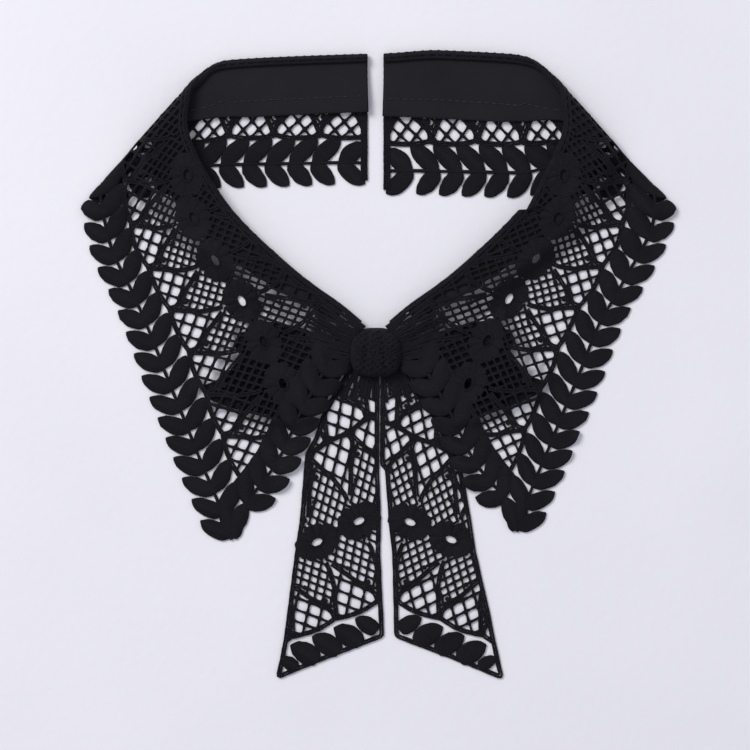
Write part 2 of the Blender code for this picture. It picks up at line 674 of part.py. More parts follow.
def make_knot():
    """A soft band wound over the bow's middle: rings of one rounded square, fullest at half height."""
    count = 28
    angle = np.arange(count) * 2 * math.pi / count
    round_x = np.sign(np.cos(angle)) * np.abs(np.cos(angle)) ** KNOT_ROUNDNESS
    round_y = np.sign(np.sin(angle)) * np.abs(np.sin(angle)) ** KNOT_ROUNDNESS
    points = []
    for height, size in zip(KNOT_RINGS["height"], KNOT_RINGS["size"]):
        reach = size * (1.0 + KNOT_DENT * np.cos(4 * angle + height)) / (1.0 + KNOT_DENT)
        points.append(np.column_stack([KNOT_CENTRE[0] + KNOT_HALF_WIDTH * round_x * reach,
                                       KNOT_CENTRE[1] + KNOT_HALF_DEPTH * round_y * reach,
                                       np.full(count, height)]))
    levels = len(points)
    polygons = [tuple(range(count))[::-1], tuple(range((levels - 1) * count, levels * count))]
    for r in range(levels - 1):
        for i in range(count):
            a, b = r * count + i, r * count + (i + 1) % count
            polygons.append((a, b, b + count, a + count))
    solid("bow_knot", np.vstack(points), polygons, BLACK_LACE, LACE_ROUGHNESS)


def tail_gaps(side):
    """Flower holes, the gaps beside the leaves of the end, and the large net cells above them."""
    row = list(TAIL_END["side"]).index(side)
    corner = np.array([TAIL_END["inner_x"][row], TAIL_END["inner_y"][row]])
    tip = np.array([TAIL_END["outer_x"][row], TAIL_END["outer_y"][row]])
    length = np.linalg.norm(tip - corner)
    run = (tip - corner) / length
    up = side * np.array([-run[1], run[0]])
    gaps = [ring((x, y), FLOWER_HOLE / 2)
            for s, x, y in zip(TAIL_FLOWERS["side"], TAIL_FLOWERS["x"], TAIL_FLOWERS["y"])
            if s == side]

    def cell(a, b, half_a, half_b, lean=0.0):
        offsets = ((half_a, lean), (0.0, half_b), (-half_a, -lean), (0.0, -half_b))
        return np.array([corner + (a + da) * run + (b + db) * up for da, db in offsets])

    for k in range(1, 5):
        a = k * TAIL_LEAF_STEP - 3.4
        gaps.append(cell(a - 2.6, TAIL_LEAF_ROW - 2.4, 2.2, 1.0, -0.9))
        gaps.append(cell(a + 0.6, TAIL_LEAF_ROW + 4.6, 2.6, 1.5, -0.8))
    half = TAIL_CELL / 2
    size = half - TAIL_CORD / math.sqrt(2)
    for level in TAIL_NET_ROWS:
        for i in range(1, int(length / half)):
            for j in range(3):
                if (i + j) % 2 == 0:
                    gaps.append(cell(i * half, level + j * half, size, size))
    return gaps


def make_tails():
    for side, table, name in ((-1, TAIL_LEFT, "tail_left"), (1, TAIL_RIGHT, "tail_right")):
        outline = both(table)
        gaps = kept(tail_gaps(side), outline, lambda gap: gap[:, 1].max() > -16.0, 1.6)
        corners, faces = triangles(outline, gaps)
        slab(name, corners, faces,
             lambda q, out: np.column_stack([q, np.full(len(q), BED + out)]), False,
             BLACK_LACE, LACE_ROUGHNESS)


def main():
    for obj in list(bpy.data.objects):
        bpy.data.objects.remove(obj)
    make_falls()
    make_stands()
    make_loops()
    make_knot()
    make_tails()


main()
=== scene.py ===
"""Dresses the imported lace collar: guipure lace falls and tails, woven stands, a bow and its knot.

The lace is drawn flat, as a maker draws it, in millimetres: x across the collar from its middle, y
towards the centre back. Cords, leaves and petals are rounded profiles carried along flat paths. The
flat drawing is then turned over the stand's top edge, folded at the shoulder and laid down, by the
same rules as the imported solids. The left half is drawn, and the right one mirrors it.
"""

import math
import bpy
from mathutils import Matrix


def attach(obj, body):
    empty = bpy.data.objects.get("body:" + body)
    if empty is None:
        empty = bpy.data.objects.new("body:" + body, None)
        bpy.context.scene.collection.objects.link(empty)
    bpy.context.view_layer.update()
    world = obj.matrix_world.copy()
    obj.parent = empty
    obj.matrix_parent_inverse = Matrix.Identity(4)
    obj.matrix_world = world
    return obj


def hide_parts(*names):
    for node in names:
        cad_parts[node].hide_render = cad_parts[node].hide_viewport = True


bl_info = {
    "name": "Lace Collar",
    "version": (1, 0, 0),
    "blender": (4, 5, 0),
    "location": "3D View > Sidebar > Lace Collar",
    "description": "Dresses the packed collar in guipure lace, woven cloth and thread",
    "category": "Object",
}

import bpy
import numpy as np

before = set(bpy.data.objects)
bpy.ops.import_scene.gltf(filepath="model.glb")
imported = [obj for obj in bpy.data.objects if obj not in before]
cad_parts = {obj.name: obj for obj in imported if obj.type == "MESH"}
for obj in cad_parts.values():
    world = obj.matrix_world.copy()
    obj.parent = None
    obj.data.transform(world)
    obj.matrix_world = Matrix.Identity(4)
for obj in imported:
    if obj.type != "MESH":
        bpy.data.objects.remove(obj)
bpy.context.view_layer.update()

MM = 0.001

# Cloth and folds, millimetres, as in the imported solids
WALL = 1.0
STEP = 1.3
ROLL_R = STEP
ROLL_CUT = math.pi * ROLL_R
TURN_SHOWN = 1.2        # lace on the stand's inner side, past the turn
FOLD_HALF = 4.6
FOLD_REACH = 3.2
BED = 0.5
DROP = 9.0
HEM_EASE = 1.5
CENTRE = (1.149, 0.762, 0.0)

# The stage: metres, but for the middle of the view in pattern millimetres
VIEW_CENTRE = np.array([-0.2, -3.4])
TABLE_HALF = 1.2
TABLE_GAP = 0.0002
LAMP_PLACE = (-1.0, 1.0, 1.5)

# The lace repeat, millimetres
REPEAT = 18.6
BAND = 39.2
NEXT_BAND = 1.46        # from one band to the next past its mirrored border
FLOWER_HOLE = np.array([4.4, 2.6])      # along the flower row and across it
FLOWER_REACH = np.array([9.2, 7.2])     # of the petals, along and across
FLOWER_RING = 0.55      # half width of the ring round the hole
FLOWER_CLEAR = 4.2      # no net nearer than this to a flower's middle


def columns(names, rows):
    """A short table as one array for each named column."""
    data = np.array(rows, float)
    return {name: data[:, i] for i, name in enumerate(names.split())}


def both(table, x="x", y="y"):
    return np.column_stack([table[x], table[y]])


# Roll line down the front, from the centre front to the shoulder, then the back one as it lies
ROLL_FRONT = columns("x y", [
    (-4.8, 17.2), (-14.2, 25.0), (-30.2, 36.6), (-52.2, 56.6), (-63.8, 71.4), (-71.8, 85.8),
    (-75.2, 96.0), (-74.3, 106.6), (-73.4, 113.8),
])
ROLL_BACK = columns("x y", [
    (-65.4, 120.5), (-59.8, 121.9), (-48.6, 122.8), (-31.8, 123.6), (-15.0, 124.2), (-3.2, 124.6),
])
# The stand's depth and the wing's height over it, by share of the front's length
FRONT_SHAPE = columns("share depth height", [
    (0.0, 4.5, 4.8), (0.16, 8.0, 5.2), (0.36, 12.0, 6.2), (0.62, 17.2, 7.2), (0.80, 17.0, 7.6),
    (0.89, 15.1, 7.6), (0.97, 17.0, 7.6), (1.02, 19.8, 7.6), (1.15, 23.2, 7.6), (1.6, 22.9, 7.6),
])
# Middle of the outer leaf chain and the flower row, one row for each repeat
CHAIN = columns("repeat x y", [
    (6, -56.5, -71.9), (5, -62.9, -54.5), (4, -70.1, -37.5), (3, -76.5, -21.3), (2, -83.2, -4.8),
    (1, -89.9, 12.6), (0, -97.2, 29.5), (-1, -105.4, 46.7), (-2, -109.4, 64.4), (-3, -110.7, 82.6),
    (-4, -110.2, 100.8), (-5, -109.4, 119.0), (-6, -110.9, 137.2), (-7, -112.7, 155.3), (-8, -114.5, 173.5),
    (-9, -117.1, 191.5),
])
FLOWERS = columns("repeat x y", [
    (6, -18.0, -60.0), (5, -24.0, -42.0), (4, -30.2, -24.6), (3, -37.0, -7.0), (2, -44.6, 9.8),
    (1, -53.5, 26.3), (0, -64.0, 42.4), (-1, -72.6, 59.0), (-2, -75.0, 76.2), (-3, -75.0, 93.0),
    (-4, -73.4, 109.4), (-5, -71.0, 125.8), (-6, -71.8, 143.4), (-7, -74.6, 161.8),
    (-8, -77.8, 180.2), (-9, -80.8, 198.2),
])
# Middle of the leaf chain along the wing's front edge, one row for each leaf pair, from the point
FRONT_CHAIN = columns("x y", [
    (-56.5, -69.8), (-51.5, -54.9), (-46.4, -47.9), (-41.0, -40.6), (-36.8, -33.2), (-33.2, -25.3),
    (-29.3, -17.3), (-25.0, -9.7), (-20.6, -2.1),
])
FOLD_INNER = (-70.8, 118.6)
FOLD_OUTER = (-114.6, 69.4)
LOOP = columns("x y", [
    (-12.0, 5.6), (-21.0, 10.2), (-30.2, 14.6), (-50.2, 18.2), (-69.0, -7.4), (-64.6, -13.0),
    (-49.8, -17.8), (-36.6, -20.6), (-28.4, -20.4), (-22.9, -17.4), (-18.4, -9.6), (-13.6, -2.4),
])
TAIL_LEFT = columns("x y", [
    (1.7, 2.5), (-9.0, 2.5), (-12.2, -3.0), (-17.4, -11.8), (-21.4, -19.0), (-24.2, -27.8),
    (-28.2, -35.4), (-30.2, -60.6), (-32.2, -74.2), (-36.6, -108.2), (-39.6, -124.8),
    (2.6, -108.6), (3.4, -108.0), (1.9, -74.2), (2.2, -61.8), (1.4, -39.4),
])
TAIL_RIGHT = columns("x y", [
    (2.1, 2.5), (1.8, -39.4), (3.8, -41.4), (5.2, -61.8), (6.6, -74.2), (7.6, -108.2),
    (51.0, -125.0), (45.8, -98.6), (40.2, -74.2), (38.2, -60.6), (34.2, -39.4), (27.8, -26.6),
    (24.0, -19.0), (18.4, -11.8), (12.6, -3.0), (9.8, 2.5),
])

# The bow's knot: its outline is a rounded square, and its rings are heights and shares of full size
KNOT_CENTRE = np.array([0.1, 5.6])
KNOT_HALF = np.array([10.2, 9.9])
KNOT_POWER = 2.78
KNOT_RINGS = columns("height size", [
    (1.4, 0.86), (2.2, 0.98), (3.4, 1.0), (4.9, 0.95), (6.2, 0.82), (7.1, 0.60), (7.6, 0.30), (7.7, 0.0),
])
KNOT_CREASES = columns("x lean depth", [(-3.9, 0.10, 0.8), (2.9, -0.12, 0.9), (7.4, 0.05, 0.5)])

# The right half's own differences
RIGHT_HEM_DROP = 0.075
RIGHT_TOP_RISE = 2.2
RIGHT_WING_RISE = 0.025
RIGHT_SHOULDER_OUT = 2.8
RIGHT_EDGE_IN = 1.8
CURL_FROM = (81.0, -19.4)
CURL_TO = (69.8, -58.2)
CURL_R = 2.4

LOOP_BEND = 0.65         # middle of the cloth where a loop turns back
LOOP_BOW = 0.10          # share by which its folded end is drawn in
LOOP_FLOWER = np.array([-47.0, 8.0])
LOOP_STEP = np.array([17.6, -5.6])
LOOP_ACROSS = np.array([11.0, 36.0])

# Each tail's slanting end, from its inner corner to its outer one, and the leaves along it
TAIL_ENDS = {-1: np.array([(2.6, -108.6), (-39.6, -124.8)]), 1: np.array([(7.6, -108.2), (51.0, -125.0)])}
TAIL_LEAVES = columns("along up size", [
    (0.9, 3.2, 0.80), (8.6, 0.9, 1.0), (17.9, 0.7, 1.0), (27.3, 0.6, 1.0), (36.0, 0.9, 0.62),
])
TAIL_LEAF = np.array([8.0, 9.9])        # from base to tip, along the end and up from it
# Its folds below the knot: from and to, on the left tail and on the right one
TAIL_GATHERS = {-1: ((1.0, -8.2, 1.5), (1.0, -17.0, -14.5)), 1: ((2.8, 9.2, 1.5), (2.8, 18.0, -14.5))}

# Heavy cords of one repeat: places along in repeats from the flower, and across in bands
HEAVY_OUT = columns("along across", [
    (-0.77, 0.262), (-0.56, 0.277), (-0.405, 0.293), (-0.335, 0.32), (-0.234, 0.425),
    (-0.105, 0.557), (-0.03, 0.732), (-0.04, 0.797),
])
HEAVY_BACK = columns("along across", [
    (-0.93, 0.765), (-0.765, 0.64), (-0.65, 0.55), (-0.54, 0.478), (-0.465, 0.428), (-0.385, 0.36),
    (-0.40, 0.30),
])
# The two nets as lattices of holes, in millimetres along and across from a flower's repeat: a
# hole's middle, the step to the next one in its row, and the step to the next row
NETS = columns("a b row_a row_b column_a column_b", [
    (-19.45, 17.2, 2.85, 3.35, 3.6, -3.45), (-13.6, 25.5, 1.79, 2.15, 2.25, -2.24),
])
# Filled dots in the fine net
DOTS = columns("along across", [(-0.40, 0.48), (-0.67, 0.67)])
# Leaves: from the chain's middle to the tip, along in repeats and across in millimetres
LEAF_BODY = columns("share outer inner", [
    (0.0, 0.50, 0.34), (0.10, 0.80, 0.60), (0.20, 0.94, 0.80), (0.34, 1.0, 0.98), (0.50, 1.0, 1.0),
    (0.65, 0.92, 0.93), (0.80, 0.72, 0.76), (0.92, 0.42, 0.46), (1.0, 0.05, 0.05),
])
NET_SWELL = 0.28        # share by which a net's cords are wider where they cross
OUTER_LEAF = (-0.485, -8.9)
INNER_LEAF = (-0.56, 9.9)
# Two more leaves in the wing's point, from base to tip, with their widths
POINT_LEAVES = (((-56.9, -68.8), (-54.2, -55.4), 6.8), ((-58.6, -66.0), (-61.0, -50.5), 6.4))
# The cloth gathered into the knot: where its folds start at the knot, and where they run out
GATHERS = 19
GATHER_FROM = np.array([(-4.2, 15.6), (-7.6, 12.0), (-9.2, 7.6), (-9.4, 2.4), (-10.8, -1.6)])
GATHER_TO = np.array([(-20.0, 27.4), (-26.4, 22.6), (-29.0, 15.0), (-28.4, 7.0), (-23.0, -2.0)])
LAST_LEAF = -8.45
LAST_BASE = -7.85       # the last pair meets the band that ends the centre back
LAST_INNER = (-8.36, 8.2)
END_BAND = 2.9          # width of that band
FIRST_LEAF = 5.25
FRONT_TIP = 2.05
FRONT_LEAVES = 8
UNEVEN = 0.18           # how much the width of a cord varies, millimetres
PICOT_STEP = 3.2        # small knots of thread along the edge that is turned over the stand


def smooth(x):
    """0 below 0, 1 above 1, and an even S between."""
    x = np.clip(x, 0.0, 1.0)
    return x * x * (3.0 - 2.0 * x)


def catmull(points, t):
    """Points on the smooth curve through the rows of points, at the row numbers t."""
    points = np.asarray(points, float)
    last = len(points) - 1
    ends = np.vstack([2 * points[0] - points[1], points, 2 * points[-1] - points[-2]])
    i = np.clip(np.floor(t).astype(int), 0, last - 1)
    f = (np.asarray(t, float) - i)[..., None]
    a, b, c, d = ends[i], ends[i + 1], ends[i + 2], ends[i + 3]
    return 0.5 * (2 * b + (c - a) * f + (2 * a - 5 * b + 4 * c - d) * f ** 2
                  + (3 * b - a - 3 * c + d) * f ** 3)


class Line:
    """A line of short straight runs, with the distance of points to its left."""

    def __init__(self, points):
        self.p = np.asarray(points, float)
        run = np.diff(self.p, axis=0)
        self.length = np.hypot(run[:, 0], run[:, 1])
        self.unit = run / self.length[:, None]
        self.start = np.concatenate([[0.0], np.cumsum(self.length)])

    def nearest(self, q):
        """Signed distance of each point (left is positive), length along, and the foot."""
        parts = [self.nearest_few(q[i:i + 20000]) for i in range(0, len(q), 20000)]
        return tuple(np.concatenate(part) for part in zip(*parts))

    def nearest_few(self, q):
        rel = q[:, None, :] - self.p[None, :-1, :]
        along = np.clip((rel * self.unit).sum(2), 0.0, self.length)
        foot = self.p[None, :-1, :] + along[..., None] * self.unit
        gap = q[:, None, :] - foot
        size = np.hypot(gap[..., 0], gap[..., 1])
        i = size.argmin(1)
        row = np.arange(len(q))
        side = self.unit[i, 0] * gap[row, i, 1] - self.unit[i, 1] * gap[row, i, 0]
        sign = np.where(side >= 0, 1.0, -1.0)
        return sign * size[row, i], self.start[i] + along[row, i], foot[row, i]

    def at(self, along, off=0.0):
        """The points at these lengths along, moved off to the left."""
        along = np.asarray(along, float)
        i = np.clip(np.searchsorted(self.start, along, side="right") - 1, 0, len(self.length) - 1)
        point = self.p[i] + (along - self.start[i])[..., None] * self.unit[i]
        knots = np.vstack([self.unit[:1], (self.unit[:-1] + self.unit[1:]) / 2, self.unit[-1:]])
        f = ((along - self.start[i]) / self.length[i])[..., None]
        unit = knots[i] * (1 - f) + knots[i + 1] * f
        unit = unit / np.linalg.norm(unit, axis=-1, keepdims=True)
        left = np.stack([-unit[..., 1], unit[..., 0]], -1)
        return point + left * np.broadcast_to(np.asarray(off, float), along.shape)[..., None]


FOLD_P = np.array(FOLD_INNER)
FOLD_U = (np.array(FOLD_OUTER) - FOLD_P) / np.linalg.norm(np.array(FOLD_OUTER) - FOLD_P)
FOLD_N = np.array([-FOLD_U[1], FOLD_U[0]])


def mirrored(points):
    """Points reflected across the shoulder fold, from the back as it lies to the flat pattern."""
    rel = np.asarray(points, float) - FOLD_P
    return FOLD_P + 2 * (rel @ FOLD_U)[..., None] * FOLD_U - rel


def roll_line():
    """The roll line in the flat pattern, from the centre front to the centre back."""
    knots = np.vstack([both(ROLL_FRONT), mirrored(both(ROLL_BACK))])
    return Line(catmull(knots, np.arange(0, (len(knots) - 1) * 5 + 1) / 5))


ROLL = roll_line()
FRONT_LENGTH = float(ROLL.nearest(both(ROLL_FRONT)[-1:])[1][0])


def by_share(column, along):
    return np.interp(along / FRONT_LENGTH, FRONT_SHAPE["share"], FRONT_SHAPE[column])


def is_inside(outline, q):
    """Whether each point lies inside a closed outline."""
    inside = np.zeros(len(q), bool)
    for (x1, y1), (x2, y2) in zip(outline, np.roll(outline, -1, 0)):
        if y1 != y2:
            inside ^= ((y1 > q[:, 1]) != (y2 > q[:, 1])) & (
                q[:, 0] < (x2 - x1) * (q[:, 1] - y1) / (y2 - y1) + x1)
    return inside


def inside_distance(outline, q):
    """Distance of points outside a closed outline, and 0 inside it."""
    closed = Line(np.vstack([outline, outline[:1]]))
    return np.where(is_inside(outline, q), 0.0, np.abs(closed.nearest(q)[0]))


def wing_height(q):
    """Height of the middle of the wing over the table: it rides over the stand, slopes down, and lies
    on the back half, the bow loops, the tails or the table."""
    d, along, _ = ROLL.nearest(q)
    on_back = smooth((q[:, 1] - (56.0 + 0.17 * (q[:, 0] + 118.0))) / 5.0)
    on_loop = smooth((5.0 - inside_distance(both(LOOP), q)) / 4.0)
    from_tail = np.minimum(inside_distance(both(TAIL_LEFT), q),
                           inside_distance(both(TAIL_RIGHT), q * (-1.0, 1.0)))
    on_tail = smooth((5.0 - from_tail) / 4.0)
    bed = BED + np.maximum.reduce([1.5 * on_back, 3.0 * on_loop, 1.5 * on_tail])
    down = smooth((d - by_share("depth", along) - HEM_EASE) / DROP)
    return by_share("height", along) * (1 - down) + bed * down


class HeightMap:
    """The wing's height and its two slopes on an even grid, read between its points."""

    def __init__(self, low, high, pitch):
        self.low, self.pitch = np.array(low, float), pitch
        x = np.arange(low[0], high[0] + pitch, pitch)
        y = np.arange(low[1], high[1] + pitch, pitch)
        grid = np.stack(np.meshgrid(x, y, indexing="ij"), -1)
        height = wing_height(grid.reshape(-1, 2)).reshape(grid.shape[:2])
        slope = np.gradient(height, pitch)
        self.values = np.stack([height, slope[0], slope[1]], -1)

    def read(self, q):
        """Height, slope along x and slope along y, each between its four nearest grid points."""
        place = (q - self.low) / self.pitch
        size = np.array(self.values.shape[:2]) - 2
        i = np.clip(np.floor(place).astype(int), 0, size)
        f = np.clip(place - i, 0.0, 1.0)
        total = 0.0
        for dx in (0, 1):
            for dy in (0, 1):
                weight = (f[:, 0] if dx else 1 - f[:, 0]) * (f[:, 1] if dy else 1 - f[:, 1])
                total = total + weight[:, None] * self.values[i[:, 0] + dx, i[:, 1] + dy]
        return total[:, 0], total[:, 1], total[:, 2]


WING = HeightMap((-126.0, -82.0), (4.0, 136.0), 1.0)


def turned_over(q, out):
    """Roll the flat fall over the stand's top edge, along a half circle of radius ROLL_R."""
    d, _, foot = ROLL.nearest(q)
    turn = np.clip((ROLL_R - d) / ROLL_CUT, 0.0, 1.0) * math.pi
    left_over = np.maximum(0.0, ROLL_R - ROLL_CUT - d)
    moved = ROLL_R - (ROLL_R + out) * np.sin(turn) + left_over
    depth = ROLL_R - (ROLL_R + out) * np.cos(turn)
    size = np.where(np.abs(d) < 1e-6, 1.0, d)
    inward = (q - foot) / size[:, None]
    placed = np.where((d < ROLL_R)[:, None], foot + inward * moved[:, None], q)
    return placed, np.where(d < ROLL_R, depth, -out)


def folded(q, depth):
    """Fold the flat pattern at the shoulder, along half an ellipse, and give it its heights."""
    rel = q - FOLD_P
    t, s = rel @ FOLD_N, rel @ FOLD_U
    axis = FOLD_P + s[:, None] * FOLD_U + FOLD_HALF * FOLD_N
    on_wing, on_back = t >= FOLD_HALF, t <= -FOLD_HALF
    height, slope_x, slope_y = WING.read(np.where(on_wing[:, None], q, axis))
    normal = np.column_stack([-slope_x, -slope_y, np.ones(len(q))])
    normal = normal / np.linalg.norm(normal, axis=1)[:, None]
    wing = np.column_stack([q, height]) - depth[:, None] * normal
    back_plan = FOLD_P + s[:, None] * FOLD_U - t[:, None] * FOLD_N
    back = np.column_stack([back_plan, BED + depth])
    radius = (height - BED) / 2
    angle = np.clip(t / FOLD_HALF, -1.0, 1.0) * math.pi / 2
    across = FOLD_HALF - (FOLD_REACH - depth) * np.cos(angle)
    bend_plan = FOLD_P + s[:, None] * FOLD_U + across[:, None] * FOLD_N
    bend = np.column_stack([bend_plan, (height + BED) / 2 + (radius - depth) * np.sin(angle)])
    return np.where(on_wing[:, None], wing, np.where(on_back[:, None], back, bend))


def on_right(p):
    """Mirror points of the left half to the right, with the right half's own differences."""
    p = p.copy()
    x, y = -p[:, 0], p[:, 1]
    back = smooth((72.0 - x) / 14.0) * smooth((y - 62.0) / 5.0)
    y = y - back * RIGHT_HEM_DROP * (124.6 - y)
    top = smooth((y - 100.0) / 20.0) * smooth(x / 26.0) * smooth((76.0 - x) / 22.0)
    y = y + RIGHT_TOP_RISE * top
    wing = smooth((x - 32.0) / 30.0) * smooth((66.0 - y) / 10.0)
    y = y + wing * RIGHT_WING_RISE * (66.0 - y)
    x = x - RIGHT_EDGE_IN * smooth((32.0 - y) / 16.0) * smooth((x - 45.0) / 25.0)
    x = x + RIGHT_SHOULDER_OUT * np.exp(-((y - 58.0) / 14.0) ** 2) * smooth((x - 90.0) / 20.0)
    p[:, 0], p[:, 1] = x, y
    start, end = np.array(CURL_FROM), np.array(CURL_TO)
    run = (end - start) / np.linalg.norm(end - start)
    out = np.array([-run[1], run[0]])
    rel = p[:, :2] - start
    past = rel @ out
    share = (rel @ run) / np.linalg.norm(end - start)
    curl = smooth(share / 0.25) * smooth((1.08 - share) / 0.12) * (past > 0)
    angle = np.clip(past, 0.0, None) / CURL_R
    p[:, :2] += (curl * (CURL_R * np.sin(angle) - past))[:, None] * out
    p[:, 2] += curl * CURL_R * (1 - np.cos(angle))
    return p


def lift_fall(q, out):
    return folded(*turned_over(q, out))


def lift_stand(q, out):
    """The stand lies inside the fold, with its lower edge raised at the centre back."""
    d, along, _ = ROLL.nearest(q)
    to_back = smooth((along / FRONT_LENGTH - 1.35) / 0.5)
    return folded(q, STEP + 2.6 * to_back * smooth((d - 5.0) / 16.0) - out)


def lift_flat(q, out):
    return np.column_stack([q, BED + out])


def lift_heights(q, out):
    return np.column_stack([q, out])


def strip(repeat, across):
    """A place in the flat lace: repeats along the leaf chain, and the distance across from it."""
    row = CHAIN["repeat"][0] - np.asarray(repeat, float)
    leaf = catmull(both(CHAIN), row)
    flower = catmull(both(FLOWERS), row)
    return leaf + (flower - leaf) * (np.asarray(across, float) / BAND)[..., None]


def front_strip(pair, out):
    """A place beside the front leaf chain: leaf pairs from the point, and the distance outwards."""
    pair = np.asarray(pair, float)
    knots = both(FRONT_CHAIN)
    ahead, behind = catmull(knots, pair + 0.05), catmull(knots, pair - 0.05)
    unit = (ahead - behind) / np.linalg.norm(ahead - behind, axis=-1, keepdims=True)
    side = np.stack([unit[..., 1], -unit[..., 0]], -1)
    return catmull(knots, pair) + side * np.broadcast_to(np.asarray(out, float), pair.shape)[..., None]


class Surface:
    """Gathers carried profiles into one mesh: flat places, heights out of the cloth's middle, thread
    coordinates (length along and distance across, in millimetres) and faces."""

    def __init__(self):
        self.flat, self.out, self.thread, self.faces, self.count = [], [], [], [], 0

    def carry(self, path, half, top, bottom, sides=6, groove=0.0, lean=0.0, closed=False):
        """A rounded profile carried along a flat path.

        At the angle v its point lies half * cos v to the left and top * sin v out, or bottom * sin v on
        the underside. groove sinks a vein along the middle, and lean slants the stitches outwards.
        """
        path = np.asarray(path, float)
        n = len(path)
        if closed:
            step = np.roll(path, -1, 0) - np.roll(path, 1, 0)
        else:
            step = np.gradient(path, axis=0)
        unit = step / np.maximum(np.linalg.norm(step, axis=1), 1e-9)[:, None]
        left = np.column_stack([-unit[:, 1], unit[:, 0]])
        half, top, bottom = (np.broadcast_to(np.asarray(v, float), n) for v in (half, top, bottom))
        wave = np.sin(path @ (5.3, 3.1)) * np.sin(path @ (-2.3, 6.7))
        half = half * (1.0 + UNEVEN * wave / (0.5 + half))
        v = (np.arange(sides) + 0.5) * 2 * math.pi / sides
        across = half[:, None] * np.cos(v)
        rise = np.where(np.sin(v) > 0, top[:, None], bottom[:, None]) * np.sin(v)
        vein = groove * np.exp(-(np.cos(v) / 0.22) ** 2) * (np.sin(v) > 0)
        rise = rise - top[:, None] * vein
        run = np.concatenate([[0.0], np.cumsum(np.linalg.norm(np.diff(path, axis=0), axis=1))])
        flat = path[:, None, :] + across[..., None] * left[:, None, :]
        thread = np.stack([run[:, None] + lean * np.abs(across), across], -1)
        index = self.count + np.arange(n * sides).reshape(n, sides)
        beside = np.roll(index, -1, 1)
        here, there = (index, np.roll(index, -1, 0)) if closed else (index[:-1], index[1:])
        near, far = (beside, np.roll(beside, -1, 0)) if closed else (beside[:-1], beside[1:])
        self.faces.append(np.stack([here, near, far, there], -1).reshape(-1, 4))
        if not closed:
            self.faces.append(np.vstack([index[0][::-1], index[-1]]))
        self.flat.append(flat.reshape(-1, 2))
        self.out.append(rise.ravel())
        self.thread.append(thread.reshape(-1, 2))
        self.count += n * sides

    def loft(self, near, far, share, out):
        """A closed section carried along two flat edges: its points lie at near + share (far - near),
        out of the cloth's middle by out. share and out run once round the section."""
        near, far = np.asarray(near, float), np.asarray(far, float)
        n, m = len(near), len(share)
        share, out = (np.broadcast_to(np.asarray(v, float), (n, m)) for v in (share, out))
        flat = near[:, None, :] + share[..., None] * (far - near)[:, None, :]
        middle = (near + far) / 2
        run = np.concatenate([[0.0], np.cumsum(np.linalg.norm(np.diff(middle, axis=0), axis=1))])
        width = np.linalg.norm(far - near, axis=1)
        thread = np.stack([np.broadcast_to(run[:, None], (n, m)), share * width[:, None]], -1)
        index = self.count + np.arange(n * m).reshape(n, m)
        beside = np.roll(index, -1, 1)
        self.faces.append(np.stack([index[:-1], beside[:-1], beside[1:], index[1:]], -1).reshape(-1, 4))
        self.faces.append(np.vstack([index[0][::-1], index[-1]]))
        self.flat.append(flat.reshape(-1, 2))
        self.out.append(out.ravel())
        self.thread.append(thread.reshape(-1, 2))
        self.count += n * m

    def triangles(self):
        return sum(len(f) * (f.shape[1] - 2) for f in self.faces)

    def mesh(self, name, lift, right, material):
        """One object from all that was gathered, laid in place by lift."""
        flat, out = np.vstack(self.flat), np.concatenate(self.out)
        points = lift(flat, out)
        faces = self.faces
        if right:
            points = on_right(points)
            faces = [f[:, ::-1] for f in faces]
        thread = np.vstack(self.thread)
        return put_mesh(name, points, [row for f in faces for row in f.tolist()], thread, material)


def put_mesh(name, points, faces, thread, material):
    """A mesh object at the origin from pattern millimetres, with thread coordinates as its UV map."""
    mesh = bpy.data.meshes.new(name)
    mesh.from_pydata(((points - CENTRE) * MM).tolist(), [], faces)
    corner = np.zeros(len(mesh.loops), np.int32)
    mesh.loops.foreach_get("vertex_index", corner)
    layer = mesh.uv_layers.new(name="thread")
    layer.data.foreach_set("uv", (thread[corner] * MM).astype(np.float32).ravel())
    mesh.shade_smooth()
    mesh.materials.append(material)
    obj = bpy.data.objects.new(name, mesh)
    bpy.context.scene.collection.objects.link(obj)
    return obj


def near_bend(q):
    """Whether points lie near the turned edge or the shoulder fold, where cords need shorter steps."""
    t = (q - FOLD_P) @ FOLD_N
    return (ROLL.nearest(q)[0] < ROLL_R + 1.5) | (np.abs(t) < FOLD_HALF + 1.0)


def even_steps(path, fine=0.45, coarse=3, bends=True):
    """A path with a point every fine millimetres at the bends, and every coarse-th of them elsewhere."""
    line = Line(path)
    count = max(int(line.start[-1] / fine), 2)
    points = line.at(np.linspace(0.0, line.start[-1] - 1e-6, count + 1))
    keep = np.arange(count + 1) % coarse == 0
    keep[-1] = True
    if bends:
        keep |= near_bend(points)
    return points[keep]


def runs(points, inside, least=3):
    """The unbroken stretches of a path that lie inside."""
    change = np.flatnonzero(np.diff(np.concatenate([[0], inside.astype(int), [0]])))
    return [points[a:b] for a, b in zip(change[::2], change[1::2]) if b - a >= least]


def smooth_curve(table, per_run=5):
    knots = both(table, "along", "across")
    return catmull(knots, np.linspace(0, len(knots) - 1, (len(knots) - 1) * per_run + 1))


OUT_CURVE = smooth_curve(HEAVY_OUT)
BACK_CURVE = smooth_curve(HEAVY_BACK)
LOW_EDGE = np.array([(-1.405, 0.293), (-1.25, 0.278), (-1.0, 0.264), (-0.77, 0.262), (-0.56, 0.277),
                     (-0.405, 0.293)])
COARSE_PATCH = np.vstack([LOW_EDGE, BACK_CURVE[::-1], OUT_CURVE[OUT_CURVE[:, 1] > 0.28][::-1] - (1, 0)])
FINE_PATCH = np.vstack([BACK_CURVE[::-1], [(-1.0, 0.79), (-1.0, 1.0), (0.0, 1.0)],
                        OUT_CURVE[OUT_CURVE[:, 1] > 0.28][::-1]])


